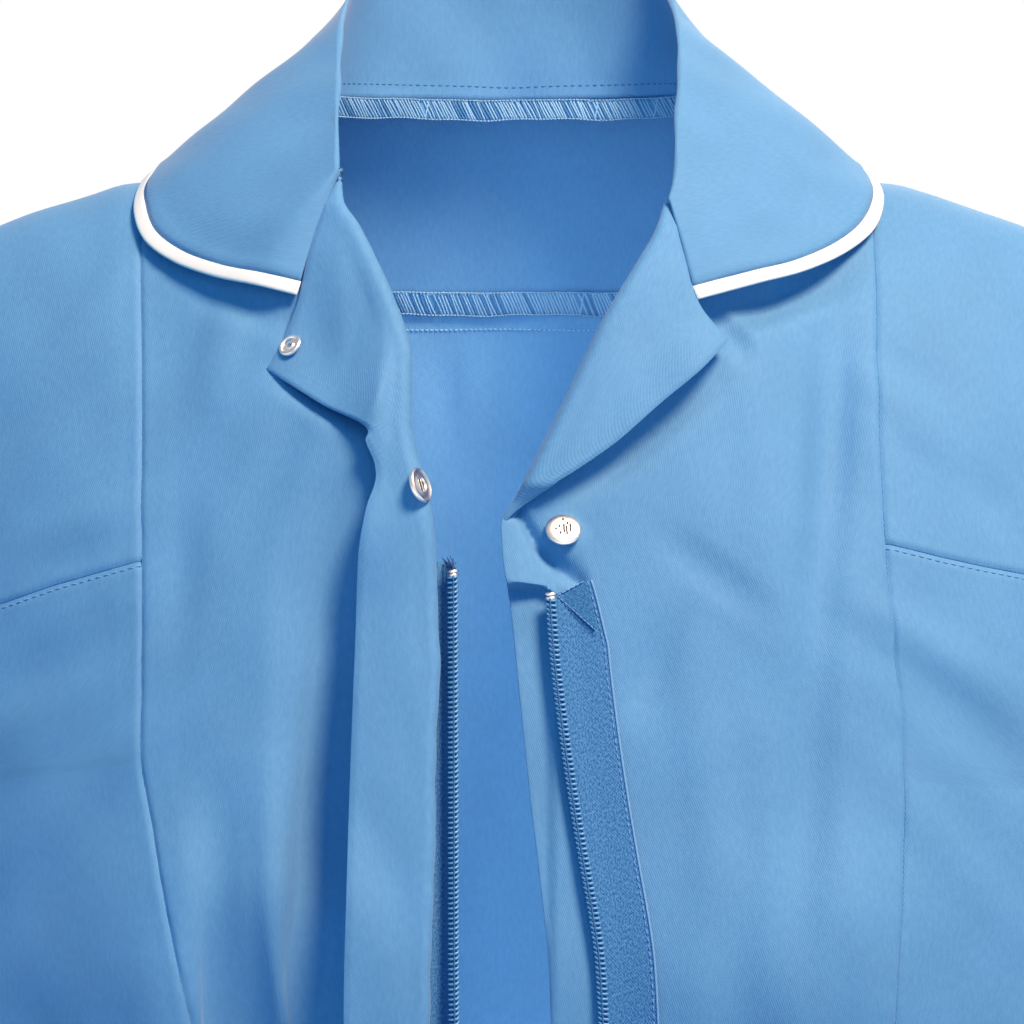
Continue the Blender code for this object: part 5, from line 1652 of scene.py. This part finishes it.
def fold_down_tape_end():
    """The spare end of the left tape, folded to a triangle and stitched along its slant; it is painted darker
    than the tape, as painted shade.
    """
    corners = np.array(TAPE_END_CORNERS) * MM
    across = np.linspace(0, 1, 9)[None, :, None]
    down = np.linspace(0, 1, 13)[:, None, None]
    flat = (corners[0] * (1 - across) + corners[1] * across) * (1 - down) + corners[2] * down
    x, z = flat[..., 0], flat[..., 1]
    y = front_surface(LEFT)(x, z) - 3.3 * MM
    panel = Panel(np.stack((x, y, z), axis=2)[:-1], FRONT_WAY)
    make_cloth("folded_tape_end", panel, 0.5 * MM, SHADED_TAPE, round_edges=True)
    for number, (first, last) in enumerate(((0, 2), (0, 1))):
        t = np.linspace(0, 1, 40)[:, None]
        line = corners[first] * (1 - t) + corners[last] * t
        face = front_surface(LEFT)(line[:, 0], line[:, 1]) - 3.5 * MM
        sewn = np.stack((line[:, 0], face, line[:, 1]), axis=1)
        stitches(f"folded_end_stitches_{number}", (sewn, same_way(FRONT_WAY, 40)), pitch=1.5 * MM,
                 fill=0.8, radius=0.18 * MM)


# %% Make the zip
for side, word in ((RIGHT, "right"), (LEFT, "left")):
    make_coil(side, word)
    make_tape(side, word)
    make_stop(side, word)
fold_down_tape_end()

# %% [markdown]
# ## Metal parts
#
# The press studs, the stops, the slider and its tab are nickel-plated. A stud part is turned:
# its half section is spun about its axis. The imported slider, tab and foot box already have the
# right shape, so they only get rounded edges and the nickel finish.

# %% Turned parts
def turned(name, profile, centre, facing, material=NICKEL, steps=56, cap=False):
    """Spin a half section of distances from the axis and heights; a cap is closed, others are rings."""
    quat = Vector(facing).to_track_quat("Z", "Y")
    turns = 2 * math.pi * np.arange(steps) / steps
    rings = []
    for far, high in profile:
        for turn in turns:
            spot = quat @ Vector((far * MM * math.cos(turn), far * MM * math.sin(turn), high * MM))
            rings.append(tuple(Vector(centre) + spot))
    faces = []
    for r in range(len(profile) - 1):
        for k in range(steps):
            n = (k + 1) % steps
            faces.append((r * steps + k, (r + 1) * steps + k, (r + 1) * steps + n, r * steps + n))
    if cap:
        faces.append(tuple(range(steps)))
        faces.append(tuple(reversed(range((len(profile) - 1) * steps, len(profile) * steps))))
    else:
        final = (len(profile) - 1) * steps
        for k in range(steps):
            n = (k + 1) % steps
            faces.append((final + k, k, n, final + n))
    thing = add_piece(name, new_mesh(name, rings, faces), material)
    thing.data.set_sharp_from_angle(angle=math.radians(40))
    return thing


def node_centre(name):
    low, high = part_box(name)
    return (low + high) / 2


def surface_direction(surface, x, z):
    """Direction straight out of the front of a surface."""
    across = (surface(x + MM, z) - surface(x, z)) / MM
    up = (surface(x, z + MM) - surface(x, z)) / MM
    return Vector((float(across), -1.0, float(up))).normalized()


# %% Ring on the lapel
lapel_face = SHELLS["lapel_and_fly_right"]
ring_x, _, ring_z = node_centre("stud_ring_lapel")
ring_tilt = Vector((-0.32, 0, 0.36))
away = np.hypot(lapel_face.points[..., 0] - ring_x, lapel_face.points[..., 2] - ring_z)
outermost = np.where(away < away.min() + 0.8 * MM, lapel_face.points[..., 1], 1.0)
row, column = np.unravel_index(np.argmin(outermost), away.shape)
ring_way = (Vector(lapel_face.normals()[row, column]) + ring_tilt).normalized()
ring_place = Vector((ring_x, lapel_face.points[row, column][1], ring_z)) + ring_way * 0.3 * MM
ring_profile = [(0.7, -0.45), (0.75, 0.2), (1.15, 0.3), (1.55, -0.08), (2.55, -0.14),
                (2.95, 0.38), (3.4, 0.46), (3.75, 0.1), (3.75, -0.45)]
ring = turned("stud_ring", ring_profile, ring_place, ring_way)
ring_shift = (ring_place - Vector(node_centre("stud_ring_lapel"))).length
print("ring is", round(ring_shift * 1000, 1), "mm from its solid")
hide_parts("stud_ring_lapel")

# %% Socket on the fold
SOCKET_X = -26.4 * MM
SOCKET_Z = -122.6 * MM
strip_face = form_front(SOCKET_X, SOCKET_Z) + layer(RIGHT, SOCKET_X, SOCKET_Z) - 2 * FOLD_RADIUS(SOCKET_Z)
socket_way = Vector((0.84, -0.44, 0.30)).normalized()
socket_place = Vector((SOCKET_X, float(strip_face) - 1.4 * MM, SOCKET_Z))
socket_profile = [(1.9, -0.8), (1.9, 0.35), (2.3, 0.75), (2.9, 0.55), (3.4, 0.3), (4.3, 0.35), (4.9, 0.75),
                  (5.35, 0.45), (5.4, -0.1), (5.0, -0.8)]
socket = turned("stud_socket", socket_profile, socket_place, socket_way)
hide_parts("stud_socket_fold")
# A dark disc inside the socket's ring: painted shadow in its hole.
shadow_disc_profile = [(0.0001, -0.1), (1.7, -0.1), (2.0, -0.3), (0.0001, -0.3)]
turned("socket_shadow_disc", shadow_disc_profile, socket_place, socket_way, material=STAMP_SHADOW, cap=True)
side_way = socket_way.cross(Vector((0, 0, 1))).normalized()
spring_way = np.array(socket_way.cross(side_way).normalized())
for word, offset in (("far", -0.75), ("near", 0.75)):
    middle = socket_place + side_way * offset * MM + socket_way * 0.1 * MM
    spring = np.array(middle) + np.linspace(-1.9, 1.9, 7)[:, None] * MM * spring_way
    tubes(f"socket_spring_{word}", [(spring, same_way(socket_way, 7))], 0.22 * MM, NICKEL, sides=8)

# %% Cap on the left front
cap_tilt = Vector((0.08, 0, 0.55))
cap_way = (surface_direction(front_surface(LEFT), 16.3 * MM, -136 * MM) + cap_tilt).normalized()
cap_shift = Vector((0, -1.3 * MM, 0))
cap_centre = Vector(node_centre("stud_cap_left")) + cap_shift
cap_profile = [(0.0001, 0.72), (3.6, 0.75), (4.7, 0.62), (5.2, 0.35), (5.4, 0.0), (5.3, -0.6), (4.6, -0.9),
               (0.0001, -0.9)]
cap = turned("stud_cap", cap_profile, cap_centre, cap_way, cap=True)
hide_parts("stud_cap_left")
cap_side = cap_way.cross(Vector((0, 0, 1))).normalized()
cap_up = cap_side.cross(cap_way).normalized()
STAMP_SIZE = 1.35
STAMP_STROKES = [
    # place across and up the cap, and length: plain strokes that spell nothing
    (-1.5, 0.1, 1.9), (-0.7, -0.7, 2.3), (-0.1, -0.1, 2.2), (0.7, -1.2, 0.8),
    (0.9, 0.5, 0.5), (0.0, 2.3, 0.5), (1.7, -0.2, 0.4), (-0.9, 1.3, 0.5),
]
# The strokes are dark: partly oxide in the stamped grooves, partly painted shade.
marks = []
for across, up, length in STAMP_STROKES:
    middle = cap_centre + (cap_side * across + cap_up * up) * STAMP_SIZE * MM + cap_way * 0.64 * MM
    t = np.linspace(-0.5, 0.5, 5)[:, None] * length * STAMP_SIZE * MM
    marks.append((np.array(middle) + t * np.array(cap_up), same_way(cap_way, 5)))
tubes("stud_cap_stamp", marks, 0.33 * MM, STAMP_SHADOW, sides=8)

# %% Packed metal parts
for name in ("slider", "pull_tab", "zip_foot_box"):
    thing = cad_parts[name]
    thing.data.materials.clear()
    thing.data.materials.append(NICKEL)
    edge = thing.modifiers.new("soft_edge", "BEVEL")
    edge.width = 0.22 * MM
    edge.segments = 3
    edge.limit_method = "ANGLE"
    edge.angle_limit = math.radians(35)
    edge.harden_normals = True
    print(name, "rounded by", round(edge.width / MM, 2), "mm")

# %% [markdown]
# ## Frayed thread
#
# At the top of the right half of the zip a dark thread end sticks up from the tape. It is a
# small bunch of fine threads, each a short bent tube.

# %% Make the frayed thread
FRAY_Z = -148 * MM
fray_random = np.random.default_rng(5)
fray_foot = point(COIL[RIGHT](FRAY_Z), form_front(-17.5 * MM, FRAY_Z) - 0.8 * MM, FRAY_Z)
frays = []
for k in range(14):
    tip = point(fray_random.normal(-0.9, 1.0), fray_random.normal(-0.5, 0.3),
                fray_random.uniform(1.2, 4.4)) * MM
    bend = point(*fray_random.normal(0, 0.6, 3)) * MM
    t = np.linspace(0, 1, 6)[:, None]
    foot = fray_foot + point(fray_random.normal(0, 0.6), 0, 0) * MM
    frays.append((foot + tip * t + bend * t * (1 - t) * 2, same_way(FRONT_WAY, 6)))
tubes("frayed_thread", frays, 0.13 * MM, DARK_THREAD)

# %% Write the sizes and finish
bpy.context.view_layer.update()
total = 0
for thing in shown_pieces():
    mesh = thing.evaluated_get(bpy.context.evaluated_depsgraph_get()).to_mesh()
    mesh.calc_loop_triangles()
    total += len(mesh.loop_triangles)
print("triangles:", total)
